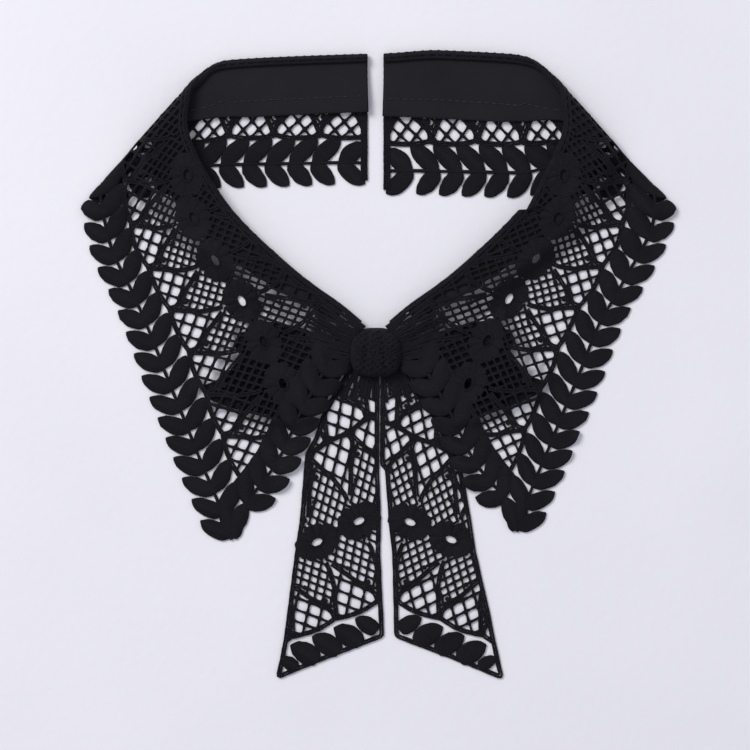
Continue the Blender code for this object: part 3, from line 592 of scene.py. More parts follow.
class Lace:
    """Draws the lace of one piece into a surface.

    place(repeat, across) gives the flat place of a point of the strip, and inside(q) says which flat
    points lie inside the cords that edge the piece.
    """

    def __init__(self, sizes, place, inside, bends=True):
        self.sizes, self.place, self.inside, self.bends = sizes, place, inside, bends
        self.surface = Surface()
        self.flowers = []

    def cord(self, path, width, height=None, least=3, clip=True, swell=None):
        """A cord along a flat path, cut where it leaves the piece. swell is the share by which it is
        wider at each point of the path."""
        points = even_steps(path, bends=self.bends)
        half = np.full(len(points), width / 2)
        if swell is not None:
            nearest = np.linalg.norm(points[:, None] - path[None], axis=2).argmin(1)
            half = half * (1.0 + swell[nearest])
        height = width * 0.33 if height is None else height
        rows = np.column_stack([points, half])
        for part in runs(rows, self.clear_of_flowers(points), least) if clip else [rows]:
            self.surface.carry(part[:, :2], part[:, 2], height, min(height, 0.46))

    def double_cord(self, path, width, clip=True):
        line = Line(path)
        along = np.linspace(0.0, line.start[-1] - 1e-6, max(int(line.start[-1] / 0.9), 3))
        for side in (-0.47, 0.47):
            self.cord(line.at(along, side * width), width, clip=clip)

    def leaf(self, base, tip, width, bend=0.0, row="outer", sides=12, steps=15):
        """A satin leaf from base to tip, its width by LEAF_BODY, domed, with a faint vein."""
        base, tip = np.asarray(base, float), np.asarray(tip, float)
        run = tip - base
        left = np.array([-run[1], run[0]])
        s = (1 - np.cos(np.linspace(0.03, math.pi - 0.03, steps))) / 2
        path = base + s[:, None] * run + (bend * 4 * s * (1 - s))[:, None] * left
        body = np.interp(s, LEAF_BODY["share"], LEAF_BODY[row])
        self.surface.carry(path, width / 2 * body, self.sizes.leaf_dome / MM * (0.35 + 0.65 * body),
                           0.30 * (0.5 + 0.5 * body), sides, groove=0.2, lean=0.7)

    def flower(self, centre, row, turn=0.0, petals=11):
        """Petals round a ring: each petal's half width follows sin(pi s^1.5)^0.6, widest near its end.
        row is the direction of the flower row, along which they reach furthest."""
        row = np.asarray(row, float) / np.linalg.norm(row)
        axes = np.array([row, (-row[1], row[0])])
        ring = np.linspace(0.0, 2 * math.pi, 25)[:-1]
        circle = np.column_stack([np.cos(ring), np.sin(ring)])
        radius = FLOWER_HOLE / 2 + FLOWER_RING
        self.surface.carry(centre + (radius * circle) @ axes, FLOWER_RING + 0.05, 0.62, 0.45, closed=True)
        s = np.linspace(0.01, 0.99, 10)
        body = np.sin(math.pi * s ** 1.5) ** 0.6
        for k in range(petals):
            angle = turn + k * 2 * math.pi / petals
            start = np.array([math.cos(angle), math.sin(angle)])
            end = start * FLOWER_REACH
            path = centre + (start * radius + s[:, None] * (end - start * radius)) @ axes
            width = 2 * math.pi * np.linalg.norm(end) * 0.72 / petals
            self.surface.carry(path, width * (0.30 + 0.42 * body), 0.25 + 0.3 * body, 0.42, 10,
                               groove=0.15, lean=0.5)

    def dot(self, centre, size):
        """A filled dot of thread, a ball a little flattened."""
        v = np.linspace(-0.98, 0.98, 6)
        round_off = np.sqrt(1 - v ** 2)
        path = np.asarray(centre, float) + np.column_stack([v * size / 2, 0 * v])
        self.surface.carry(path, size / 2 * round_off, 0.6 * round_off, 0.42 * round_off, 8)

    def net(self, repeat, patch, lattice, width, band):
        """Straight cords between the holes of a lattice, cut to a patch of the repeat.

        With the hole's middle c and steps r and k, they are the lines c + t r + (n + 1/2) k and
        c + t k + (n + 1/2) r, for whole n, and are widest where they cross.
        """
        unit = (REPEAT, BAND)
        middle, row, column = lattice
        for way, step in ((row, column), (column, row)):
            share = (patch * unit - middle) @ np.linalg.inv(np.array([way, step]))
            t = np.arange(share[:, 0].min(), share[:, 0].max(), 0.3 / np.linalg.norm(way))
            for n in range(math.floor(share[:, 1].min()), math.ceil(share[:, 1].max())):
                points = (middle + t[:, None] * way + (n + 0.5) * step) / unit
                swell = -NET_SWELL * np.cos(2 * math.pi * t)
                rows = np.column_stack([points, swell])
                for part in runs(rows, is_inside(patch, points), 4):
                    self.cord(self.place_unit(repeat, part[:, :2], band), width, swell=part[:, 2])

    def place_unit(self, repeat, unit, band):
        """Flat places of points given in repeats from a flower and in bands: in the band below the
        flower row, in the one above it, which mirrors it, or in the next one past that border."""
        across = (unit[:, 1], 2 - unit[:, 1], unit[:, 1] + NEXT_BAND)[band]
        along = repeat + unit[:, 0] + (0.5 if band == 2 else 0.0)
        return self.place(along, across * BAND)

    def clear_of_flowers(self, q):
        """Whether points lie outside the flowers, whose middles stay open."""
        inside = self.inside(q)
        for centre in self.flowers:
            inside &= np.linalg.norm(q - centre, axis=1) > FLOWER_CLEAR
        return inside

    def fan(self, repeat, band=0):
        """One repeat of the ground: heavy double cords, two nets and the dots."""
        heavy, net = self.sizes.heavy_cord / MM, self.sizes.net_cord / MM
        self.double_cord(self.place_unit(repeat, OUT_CURVE, band), heavy)
        self.double_cord(self.place_unit(repeat, BACK_CURVE, band), heavy)
        self.double_cord(self.place_unit(repeat, LOW_EDGE[:4], band), heavy)
        lattices = [np.array(row).reshape(3, 2) for row in zip(*NETS.values())]
        self.net(repeat, COARSE_PATCH, lattices[0], net, band)
        self.net(repeat, FINE_PATCH, lattices[1], net * 0.9, band)
        for at in self.place_unit(repeat, both(DOTS, "along", "across"), band):
            if self.inside(at[None])[0]:
                self.dot(at, 2.0)


def wavy(start, end, phase):
    """A path that sways a little on its way, by sin(7 s + 2 phase) across and a taper at both ends."""
    s = np.linspace(0.0, 1.0, 14)[:, None]
    run = end - start
    left = np.array([-run[1], run[0]]) / np.linalg.norm(run)
    sway = 0.30 * np.sin(7.0 * s + 2.0 * phase) * np.sin(math.pi * s)
    return start + s * run * (1.0 - 0.12 * (1 + math.sin(3.1 * phase))) + sway * left


def fall_region():
    """The part of the flat fall that its nets fill, inside the leaf chains."""
    end = ROLL.start[-1]
    seam = ROLL.at(np.linspace(0.3, FRONT_LENGTH + 6.0, 22), ROLL_R - ROLL_CUT + 0.5)
    turned = ROLL.at(np.linspace(FRONT_LENGTH + 9.0, end - 0.3, 9), ROLL_R - ROLL_CUT - TURN_SHOWN)
    chain = strip(np.linspace(LAST_LEAF + 0.03, 5.0, 60), np.full(60, 5.0))
    front = front_strip(np.linspace(1.2, 8.0, 20), -5.0)
    return np.vstack([seam, turned, chain, front, [(-12.4, 2.0), (-11.4, 8.0), (-9.8, 12.6)]])


def draw_fall(sizes):
    """The whole fall: ground, flowers, both leaf chains, and the cords that edge it."""
    region = fall_region()
    lace = Lace(sizes, strip, lambda q: is_inside(region, q))
    for repeat in range(-8, 7):
        centre = strip(float(repeat), BAND)
        if ROLL.nearest(centre[None])[0][0] > 6.0 and is_inside(region, centre[None])[0]:
            lace.flowers.append(centre)
            lace.flower(centre, strip(repeat + 0.5, BAND) - centre, 0.3 * repeat)
    for repeat in range(-9, 8):
        for band in (0, 1):
            lace.fan(repeat, band)
    width = sizes.leaf_width / MM
    for k in range(int(round((FIRST_LEAF - LAST_LEAF) * 2)) + 1):
        tip = FIRST_LEAF - k / 2
        last = tip < LAST_LEAF + 0.25
        base = LAST_BASE if last else tip - OUTER_LEAF[0]
        tip = LAST_LEAF + 0.03 if last else tip
        lace.leaf(strip(base, 0.2), strip(tip, OUTER_LEAF[1]), width, 0.05)
        inner = LAST_INNER if last else (base + INNER_LEAF[0], INNER_LEAF[1])
        lace.leaf(strip(base, -0.1), strip(*inner), width * 1.04, -0.03, "inner")
    lace.cord(strip(np.linspace(LAST_LEAF + 0.1, FIRST_LEAF + 0.6, 90), np.zeros(90)), 1.5, 0.4, clip=False)
    lace.cord(front_strip(np.linspace(1.2, 7.9, 40), 0.0), 1.5, 0.4, clip=False)
    for k in range(FRONT_LEAVES):
        apex = FRONT_TIP + k - 1.05
        lace.leaf(front_strip(apex, -0.4), front_strip(apex + 1.0, 8.1), width, -0.05)
        lace.leaf(front_strip(apex, 0.4), front_strip(apex + 1.2, -8.6), width * 1.04, 0.03, "inner")
    for base, tip, size in POINT_LEAVES:
        lace.leaf(base, tip, size)
    start = catmull(GATHER_FROM, np.linspace(0, len(GATHER_FROM) - 1, GATHERS))
    reach = catmull(GATHER_TO, np.linspace(0, len(GATHER_TO) - 1, GATHERS))
    for k, (a, b) in enumerate(zip(start, reach)):
        lace.cord(wavy(a, b, k), 1.5, 0.5, clip=False)
    heavy = sizes.heavy_cord / MM
    lace.double_cord(front_strip(np.linspace(1.3, 7.9, 30), -8.2), heavy, clip=False)
    end = ROLL.start[-1]
    for off, first in ((2.7, 1.0), (1.3, 1.0), (0.0, 1.0), (-1.3, 1.0), (-2.5, 1.0),
                       (-3.8, FRONT_LENGTH + 7.5)):
        along = np.linspace(first, end - 0.6, 150)
        lace.cord(ROLL.at(along, off), 1.4, 0.5, clip=False)
    for along in np.arange(FRONT_LENGTH + 10.0, end - 1.0, PICOT_STEP):
        lace.dot(ROLL.at(along, ROLL_R - ROLL_CUT / 2), 2.0)
    down = np.linspace(124.4, 74.4, 40)
    band = mirrored(np.column_stack([np.full(40, -3.1 - END_BAND / 2), down]))
    over = ROLL.at(np.full(4, end - END_BAND / 2), np.linspace(-4.2, -1.0, 4))
    for side in (-1, 0, 1):
        path = Line(np.vstack([over, band]))
        lace.cord(path.at(np.linspace(0.0, path.start[-1] - 1e-6, 60), side * END_BAND * 0.31),
                  END_BAND * 0.40, 0.5, clip=False)
    return lace


def tail_strip(side):
    """Places in a tail: its leaf row along the slanting end, and its flower row above."""
    leaf_at, leaf_step = {-1: ((-3.8, -109.5), (17.35, 6.7)), 1: ((14.5, -109.7), (-17.3, 6.7))}[side]
    flower_at, flower_step = {-1: ((-23.4, -70.2), (16.8, 8.4)), 1: ((30.2, -69.2), (-16.4, 7.0))}[side]
    leaf_at, leaf_step, flower_at, flower_step = map(np.array, (leaf_at, leaf_step, flower_at, flower_step))

    def place(repeat, across):
        repeat = np.asarray(repeat, float)[..., None]
        leaf = leaf_at + repeat * leaf_step
        flower = flower_at + repeat * flower_step
        return leaf + (flower - leaf) * (np.asarray(across, float) / BAND)[..., None]

    return place


def draw_tail(sizes, side):
    """A tail: the same ground, its leaf row inside the slanting end, and satin cords all round."""
    outline = both(TAIL_LEFT if side < 0 else TAIL_RIGHT)
    edge = Line(np.vstack([outline, outline[:1]]))
    heavy = sizes.heavy_cord / MM

    def inside(q):
        return is_inside(outline, q) & (np.abs(edge.nearest(q)[0]) > 0.8)

    lace = Lace(sizes, tail_strip(side), inside, bends=False)
    row = lace.place(1.0, BAND) - lace.place(0.0, BAND)
    for repeat in (0, 1):
        lace.flowers.append(lace.place(float(repeat), BAND))
        lace.flower(lace.flowers[-1], row, 0.3 * repeat)
    for repeat in range(-3, 5):
        for band in (0, 1, 2):
            lace.fan(repeat, band)
    all_round = edge.at(np.linspace(0.0, edge.start[-1] - 1e-6, 340), 0.95)
    lace.double_cord(all_round, heavy, clip=False)
    corner, tip = TAIL_ENDS[side]
    run = (tip - corner) / np.linalg.norm(tip - corner)
    up = side * np.array([-run[1], run[0]])
    axes = np.array([run, up])
    for along, rise, size in zip(*TAIL_LEAVES.values()):
        base = corner + np.array([along, rise]) @ axes
        lace.leaf(base, base + size * TAIL_LEAF @ axes, size * sizes.leaf_width / MM * 1.22, 0.03 * side)
    (from_in, from_out, top), (to_in, to_out, low) = TAIL_GATHERS[side]
    for a, b in zip(np.linspace(from_in, from_out, 10), np.linspace(to_in, to_out, 10)):
        lace.cord(wavy(np.array([a, top]), np.array([b, low]), a), 1.5, clip=False)
    return lace


def loop_edges():
    """The loop's upper and lower edges, from the knot to its folded end, in even steps."""
    outline = both(LOOP)
    upper, lower = Line(catmull(outline[:4], np.linspace(0, 3, 13))), Line(
        catmull(outline[4:][::-1], np.linspace(0, 7, 29)))
    share = np.linspace(0.0, 1.0, 30)
    return upper.at(share * (upper.start[-1] - 1e-6)), lower.at(share * (lower.start[-1] - 1e-6))


def loop_outline():
    """The loop's outline, with its folded end drawn in by LOOP_BOW at the middle."""
    upper, lower = loop_edges()
    step = np.linspace(0.0, 1.0, 9)
    share = (1.0 - LOOP_BOW * np.sin(math.pi * step)) * (len(upper) - 1)
    end = catmull(upper, share) * (1 - step)[:, None] + catmull(lower, share) * step[:, None]
    return np.vstack([upper[:-1], end, lower[:-1][::-1]])


def loop_puff(q):
    """The slack of the loop's upper layer: shallow folds that run out from the knot."""
    way = np.arctan2(q[:, 1] - KNOT_CENTRE[1], -(q[:, 0] - KNOT_CENTRE[0]) + 6.0)
    reach = np.clip((np.hypot(q[:, 0], q[:, 1] - KNOT_CENTRE[1]) - 12.0) / 50.0, 0.0, 1.0)
    return 0.32 * np.sin(9.0 * way + 0.6) * np.sin(math.pi * reach) ** 0.7


def draw_loop_band():
    """Both layers of a loop in one closed skin, which turns round at the outer end.

    The section runs out along the lower layer, round the bend of radius LOOP_BEND and back along
    the upper one, and then the same way back inside.
    """
    upper, lower = loop_edges()
    bend = np.linspace(-math.pi / 2, math.pi / 2, 9)
    middle = LOOP_BEND + WALL / 2
    surface = Surface()
    share = np.linspace(0.0, 0.985, 16)
    tight = LOOP_BEND - WALL / 2
    along = np.concatenate([share, 0.985 + 0.015 * np.cos(bend[1:-1]), share[::-1],
                            share, 0.985 + 0.002 * np.cos(bend[1:-1]), share[::-1]])
    height = np.concatenate([0 * share, middle + middle * np.sin(bend[1:-1]), 0 * share + 2 * middle,
                             0 * share + 2 * middle - WALL, middle - tight * np.sin(bend[1:-1]),
                             0 * share + WALL])
    # one row of the loft for each step across the band, from the lower edge to the upper one
    steps = np.linspace(0.0, 1.0, 22)
    n, m = len(steps), len(along)
    lengths = along * (1.0 - LOOP_BOW * np.sin(math.pi * steps))[:, None] * (len(upper) - 1)
    edge_up, edge_low = catmull(upper, lengths), catmull(lower, lengths)
    points = edge_low + steps[:, None, None] * (edge_up - edge_low)
    index = np.arange(n * m).reshape(n, m)
    beside = np.roll(index, -1, 1)
    surface.faces.append(np.stack([index[:-1], index[1:], beside[1:], beside[:-1]], -1).reshape(-1, 4))
    surface.faces.append(np.vstack([index[0], index[-1][::-1]]))
    surface.flat.append(points.reshape(-1, 2))
    surface.out.append(np.tile(height, n))
    surface.thread.append(points.reshape(-1, 2))
    surface.count = n * m
    return surface


def lift_loop_band(q, out):
    """Heights are given from the table up, and the upper layer takes the slack."""
    puff = loop_puff(q) * smooth((out - 0.9) / 0.6)
    return np.column_stack([q, out + puff])


def lift_loop_lace(q, out):
    return np.column_stack([q, 2.15 + loop_puff(q) + out])


def loop_place(repeat, across):
    """Places in a loop's lace: the strip runs out from the knot and its flowers lie along its middle."""
    repeat = np.asarray(repeat, float)[..., None]
    at = LOOP_FLOWER + repeat * LOOP_STEP
    return at + (np.asarray(across, float) / BAND - 1.0)[..., None] * LOOP_ACROSS


def draw_loop_lace(sizes):
    """The lace that shows on a loop: its ground, flowers and satin edge."""
    outline = loop_outline()
    lace = Lace(sizes, loop_place, lambda q: is_inside(outline, q), bends=False)
    for repeat in range(-4, 5):
        for band in (0, 1):
            lace.fan(repeat, band)
        centre = lace.place(float(repeat), BAND)
        if is_inside(outline, centre[None])[0] and centre[0] < -16.0:
            lace.flower(centre, LOOP_STEP, 0.4 * repeat)
    for edge in loop_edges():
        lace.double_cord(edge, sizes.heavy_cord / MM, clip=False)
    return lace


def knot_share(q):
    """Size of the rounded square through each point, as a share of the knot's full size."""
    rel = np.abs((q - KNOT_CENTRE) / KNOT_HALF)
    return (rel ** KNOT_POWER).sum(1) ** (1 / KNOT_POWER)


def knot_top(q):
    """Height of the knot's upper side, sunk at the creases between its winds."""
    size = np.clip(knot_share(q), 0.0, 1.0)
    rings = slice(2, None)
    height = np.interp(-size, -KNOT_RINGS["size"][rings], KNOT_RINGS["height"][rings])
    for x, lean, depth in zip(*KNOT_CREASES.values()):
        gap = q[:, 0] - x - lean * (q[:, 1] - KNOT_CENTRE[1])
        height = height - depth * np.exp(-(gap / 0.9) ** 2) * (1 - size ** 6)
    return height


def draw_knot_body():
    """Rings of one rounded square, closed at the top and underneath.

    At the angle v a ring point lies at sign(cos v) |cos v|^0.72 and sign(sin v) |sin v|^0.72 times
    its half sizes, and the upper side sinks at the creases.
    """
    v = np.arange(72) * 2 * math.pi / 72
    power = 2 / KNOT_POWER
    circle = np.column_stack([np.sign(np.cos(v)) * np.abs(np.cos(v)) ** power,
                              np.sign(np.sin(v)) * np.abs(np.sin(v)) ** power])
    rows = np.linspace(0.0, len(KNOT_RINGS["size"]) - 1.02, 30)
    at = np.arange(len(KNOT_RINGS["size"]))
    size = np.interp(rows, at, KNOT_RINGS["size"])
    height = np.interp(rows, at, KNOT_RINGS["height"])
    flat = KNOT_CENTRE + size[:, None, None] * circle * KNOT_HALF
    out = np.broadcast_to(height[:, None], flat.shape[:2]).copy()
    crease = knot_top(flat.reshape(-1, 2)).reshape(out.shape) - np.interp(
        -size, -KNOT_RINGS["size"][2:], KNOT_RINGS["height"][2:])[:, None]
    out += crease * smooth((out - 2.6) / 1.6)
    surface = Surface()
    n, m = out.shape
    index = np.arange(n * m).reshape(n, m)
    beside = np.roll(index, -1, 1)
    surface.faces.append(np.stack([index[:-1], beside[:-1], beside[1:], index[1:]], -1).reshape(-1, 4))
    surface.faces.append(np.vstack([index[0][::-1], index[-1]]))
    surface.flat.append(flat.reshape(-1, 2))
    surface.out.append(out.ravel())
    surface.thread.append(flat.reshape(-1, 2))
    surface.count = n * m
    return surface


def lift_knot(q, out):
    return np.column_stack([q, knot_top(q) + out])


def knot_place(repeat, across):
    """Places in the knot's lace, which is wound so tightly that the pattern is drawn close."""
    at = KNOT_CENTRE + np.asarray(repeat, float)[..., None] * (2.0, 12.0)
    return at + (np.asarray(across, float) / BAND - 1.0)[..., None] * (26.0, -3.0)


def draw_knot_lace(sizes):
    """Crumpled lace over the knot: net, heavy cords and dots."""
    lace = Lace(sizes, knot_place, lambda q: knot_share(q) < 0.97, bends=False)
    for repeat in range(-3, 4):
        for band in (0, 1):
            lace.fan(repeat, band)
    return lace


def draw_stand(sizes):
    """The stand: a flat section with rounded edges between the roll line and its lower edge, and a
    hem a little thicker than the rest."""
    end = ROLL.start[-1]
    along = np.concatenate([np.arange(9.5, end - 0.4, 1.6), [end - 0.3]])
    depth = by_share("depth", along)
    near, far = ROLL.at(along, ROLL_R), ROLL.at(along, depth)
    spread = 6      # the lower edge is eased where the stand turns the shoulder
    padded = np.vstack([np.repeat(far[:1], spread, 0), far, np.repeat(far[-1:], spread, 0)])
    eased = sum(padded[i:i + len(far)] for i in range(2 * spread + 1)) / (2 * spread + 1)
    share = np.clip(np.minimum(np.arange(len(far)), np.arange(len(far))[::-1]) / spread, 0.0, 1.0)
    far = far + share[:, None] * (eased - far)
    cap = np.linspace(math.pi / 2, -math.pi / 2, 7)
    flat = np.linspace(0.04, 0.96, 15)
    half = WALL / 2 - 0.05
    hem = 0.14 * smooth((flat - 0.70) / 0.02)
    share = np.concatenate([flat, 0.96 + 0.04 * np.cos(cap[1:-1]), flat[::-1],
                            0.04 - 0.04 * np.cos(cap[::-1][1:-1])])
    out = np.concatenate([half + hem, (half + 0.14) * np.sin(cap[1:-1]), -half - hem[::-1],
                          half * np.sin(cap[::-1][1:-1])])
    surface = Surface()
    surface.loft(near, far, share, out)
    return surface


def draw_stitches(sizes):
    """Topstitching along the stand's hem, on its inner side: a short rounded thread for each stitch."""
    surface = Surface()
    step, size = sizes.stitch_step / MM, sizes.stitch_length / MM
    for along in np.arange(12.0, ROLL.start[-1] - 4.0, step):
        s = along + np.linspace(0.0, size, 4)
        off = by_share("depth", s) * 0.72
        path = ROLL.at(s, off)
        body = np.array([0.5, 1.0, 1.0, 0.5]) * 0.24
        surface.carry(path, body, body, body, 6)
    return surface


def lift_stitches(q, out):
    return lift_stand(q, -(WALL / 2 + 0.10) - out)


def srgb(hex_colour):
    """Linear colour from an sRGB hex value such as '1a1a1f'."""
    values = np.array([int(hex_colour[i:i + 2], 16) for i in (0, 2, 4)]) / 255
    linear = np.where(values <= 0.04045, values / 12.92, ((values + 0.055) / 1.055) ** 2.4)
    return (*(float(v) for v in linear), 1.0)


def node(tree, kind, links=(), **settings):
    """A shader node: links pairs an input's name or number with a value or another node's output."""
    made = tree.nodes.new("ShaderNode" + kind)
    for name, value in settings.items():
        setattr(made, name, value)
    for name, value in links:
        if isinstance(value, bpy.types.NodeSocket):
            tree.links.new(value, made.inputs[name])
        else:
            made.inputs[name].default_value = value
    return made


def maths(tree, operation, *values):
    return node(tree, "Math", list(enumerate(values)), operation=operation).outputs[0]


def new_material(name, **constants):
    """A material with one Principled shader, its constant values set on the shader's own sockets."""
    material = bpy.data.materials.new(name)
    material.use_nodes = True
    shader = material.node_tree.nodes["Principled BSDF"]
    for socket, value in constants.items():
        shader.inputs[socket.replace("_", " ")].default_value = value
    return material, material.node_tree, shader


def two_colours(tree, low, high, factor):
    mix = node(tree, "Mix", [("Factor", factor)], data_type="RGBA")
    mix.inputs["A"].default_value = srgb(low)
    mix.inputs["B"].default_value = srgb(high)
    return mix.outputs["Result"]


def thread_material(look, name, low, high):
    """Black viscose embroidery thread, satin stitched: close parallel stitches lie across each cord
    and leaf and give a soft silky band of light; loose fibres dull it."""
    material, tree, shader = new_material(
        name, IOR=1.53, Sheen_Weight=look.sheen, Sheen_Roughness=0.55, Sheen_Tint=srgb("8c8c9c"),
        Specular_IOR_Level=0.14)
    place = node(tree, "UVMap", uv_map="thread").outputs["UV"]
    split = node(tree, "SeparateXYZ", [("Vector", place)])
    solid = node(tree, "TexCoord").outputs["Object"]
    wobble = node(tree, "TexNoise", [("Vector", solid), ("Scale", 1 / (2.2 * MM)), ("Detail", 2.0)])
    # the stitches of the real lace lie 0.3 mm apart; drawn coarser, so that they hold at this distance
    along = maths(tree, "ADD", split.outputs["X"],
                  maths(tree, "MULTIPLY", wobble.outputs["Fac"], 0.7 * MM))
    stitch = maths(tree, "SINE", maths(tree, "MULTIPLY", along, 2 * math.pi / look.stitch_pitch))
    fibres = node(tree, "TexNoise", [("Vector", solid), ("Scale", 1 / (0.35 * MM)), ("Detail", 3.0),
                                     ("Roughness", 0.7)])
    height = maths(tree, "ADD", maths(tree, "MULTIPLY", stitch, 0.5),
                   maths(tree, "MULTIPLY", fibres.outputs["Fac"], 0.9))
    bump = node(tree, "Bump", [("Height", height), ("Strength", 0.9), ("Distance", 0.2 * MM)])
    broad = node(tree, "TexNoise", [("Vector", solid), ("Scale", 1 / (14 * MM)), ("Detail", 4.0)])
    tone = maths(tree, "ADD", maths(tree, "MULTIPLY", broad.outputs["Fac"], 0.6),
                 maths(tree, "MULTIPLY_ADD", fibres.outputs["Fac"], 1.8, -0.85))
    tree.links.new(two_colours(tree, low, high, tone), shader.inputs["Base Color"])
    tree.links.new(maths(tree, "ADD", maths(tree, "MULTIPLY", fibres.outputs["Fac"], 0.3), look.roughness - 0.15),
                   shader.inputs["Roughness"])
    tree.links.new(bump.outputs["Normal"], shader.inputs["Normal"])
    return material


def cloth_material(look, name):
    """Black plain-woven polyester: dull crossed yarns, a painted highlight that makes the colour a little lighter
    in step with the weave, and a soft pale edge of fibres at grazing angles."""
    material, tree, shader = new_material(
        name, IOR=1.56, Sheen_Weight=look.sheen, Sheen_Roughness=0.7, Sheen_Tint=srgb("8c8c9c"),
        Specular_IOR_Level=0.14)
    place = node(tree, "UVMap", uv_map="thread").outputs["UV"]
    split = node(tree, "SeparateXYZ", [("Vector", place)])
    # the yarns are 0.3 mm apart in the real cloth and are drawn coarser here
    warp = maths(tree, "SINE", maths(tree, "MULTIPLY", split.outputs["X"], 2 * math.pi / look.weave_pitch))
    weft = maths(tree, "SINE", maths(tree, "MULTIPLY", split.outputs["Y"], 2 * math.pi / look.weave_pitch))
    weave = maths(tree, "MULTIPLY", warp, weft)
    solid = node(tree, "TexCoord").outputs["Object"]
    broad = node(tree, "TexNoise", [("Vector", solid), ("Scale", 1 / (18 * MM)), ("Detail", 5.0)])
    lint = node(tree, "TexNoise", [("Vector", solid), ("Scale", 1 / (0.6 * MM)), ("Detail", 2.0)])
    height = maths(tree, "ADD", maths(tree, "MULTIPLY", weave, 0.5), lint.outputs["Fac"])
    bump = node(tree, "Bump", [("Height", height), ("Strength", 0.5), ("Distance", 0.1 * MM)])
    # painted highlight: the weave makes the colour a little lighter on the raised yarns, beside a broad tone that
    # differs at random
    tone = maths(tree, "ADD", maths(tree, "MULTIPLY", broad.outputs["Fac"], 0.8),
                 maths(tree, "MULTIPLY", weave, 0.12))
    tree.links.new(two_colours(tree, "101014", "1d1d23", tone), shader.inputs["Base Color"])
    tree.links.new(maths(tree, "ADD", maths(tree, "MULTIPLY", lint.outputs["Fac"], 0.2), 0.72),
                   shader.inputs["Roughness"])
    tree.links.new(bump.outputs["Normal"], shader.inputs["Normal"])
    return material


def table_material():
    """Off-white embossed leather board: shallow pebbles with fine creases between them."""
    material, tree, shader = new_material("table_leather", IOR=1.5, Specular_IOR_Level=0.35)
    solid = node(tree, "TexCoord").outputs["Object"]
    pebbles = node(tree, "TexVoronoi", [("Vector", solid), ("Scale", 1 / (3.2 * MM))],
                   feature="SMOOTH_F1")
    pores = node(tree, "TexNoise", [("Vector", solid), ("Scale", 1 / (1.1 * MM)), ("Detail", 4.0)])
    height = maths(tree, "ADD", pebbles.outputs["Distance"],
                   maths(tree, "MULTIPLY", pores.outputs["Fac"], 0.6))
    bump = node(tree, "Bump", [("Height", height), ("Strength", 0.22), ("Distance", 0.3 * MM)])
    broad = node(tree, "TexNoise", [("Vector", solid), ("Scale", 1 / (90 * MM)), ("Detail", 2.0)])
    tree.links.new(two_colours(tree, "e2e2ea", "ebebf2", broad.outputs["Fac"]),
                   shader.inputs["Base Color"])
    shader.inputs["Roughness"].default_value = 0.6
    tree.links.new(bump.outputs["Normal"], shader.inputs["Normal"])
    return material


def length(name, description, default):
    return bpy.props.FloatProperty(name=name, description=description, default=default, min=0.0001,
                                   unit="LENGTH", precision=5)


def number(name, description, default):
    return bpy.props.FloatProperty(name=name, description=description, default=default, min=0.0,
                                   unit="NONE")


class LaceSizes(bpy.types.PropertyGroup):
    """Sizes of the lace's parts."""
    net_cord: length("Net cord", "Width of the net's cords", 0.00137)
    heavy_cord: length("Heavy cord", "Width of one of the two cords side by side", 0.00106)
    leaf_width: length("Leaf width", "Width of a satin leaf", 0.0072)
    leaf_dome: length("Leaf dome", "Height of a satin leaf over the cloth's middle", 0.00065)


class StandSizes(bpy.types.PropertyGroup):
    """Sizes of the stand's topstitching."""
    stitch_step: length("Stitch step", "From one stitch to the next", 0.0030)
    stitch_length: length("Stitch length", "Length of thread that shows of each stitch", 0.0021)


class ThreadLook(bpy.types.PropertyGroup):
    """How the thread and the cloth take the light."""
    stitch_pitch: length("Stitch pitch", "From one satin stitch to the next, as drawn", 0.00062)
    weave_pitch: length("Weave pitch", "From one yarn to the next but one, as drawn", 0.0011)
    roughness: number("Roughness", "Roughness of the embroidery thread", 0.62)
    sheen: number("Sheen", "Strength of the pale edge that loose fibres give", 0.07)


class StageSizes(bpy.types.PropertyGroup):
    """Camera and light."""
    camera_height: length("Camera height", "Height of the camera over the table", 1.8)
    view_width: length("View width", "Width of the table that the camera sees", 0.3)
    lamp_size: length("Lamp size", "Side of the soft light at the upper left", 0.95)
    lamp_power: number("Lamp power", "Power of the soft light in watts", 28.0)
    sky: number("Sky", "Strength of the pale light from all round", 0.63)


def settle(obj, *nodes):
    """Every piece rides on the collar's one body; one that stands for a solid hides that solid."""
    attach(obj, "root")
    if nodes:
        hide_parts(*nodes)
    return obj


def scene_material(context, name, make):
    return bpy.data.materials.get(name) or make()


def thread_of(context):
    look = context.scene.collar_thread
    return scene_material(context, "embroidery_thread",
                          lambda: thread_material(look, "embroidery_thread", "040407", "1b1a24"))


def cloth_of(context):
    look = context.scene.collar_thread
    return scene_material(context, "woven_cloth", lambda: cloth_material(look, "woven_cloth"))


class MakeFalls(bpy.types.Operator):
    """Draw both lace falls, turned over the stands and folded at the shoulders"""
    bl_idname = "collar.falls"
    bl_label = "Falls"

    def execute(self, context):
        lace = draw_fall(context.scene.collar_lace)
        for side in ("left", "right"):
            obj = lace.surface.mesh("lace_fall_" + side, lift_fall, side == "right", thread_of(context))
            settle(obj, "fall_" + side)
        return {"FINISHED"}


class MakeStands(bpy.types.Operator):
    """Make both woven stands with their hems and topstitching"""
    bl_idname = "collar.stands"
    bl_label = "Stands"

    def execute(self, context):
        sizes = context.scene.collar_stand
        stand, stitches = draw_stand(sizes), draw_stitches(sizes)
        look = context.scene.collar_thread
        yarn = scene_material(context, "topstitch_thread", lambda: thread_material(
            look, "topstitch_thread", "26262d", "3a3a43"))
        for side in ("left", "right"):
            right = side == "right"
            obj = stand.mesh("woven_stand_" + side, lift_stand, right, cloth_of(context))
            settle(obj, "stand_" + side)
            seam = stitches.mesh("stand_stitches_" + side, lift_stitches, right, yarn)
            settle(seam)
        return {"FINISHED"}


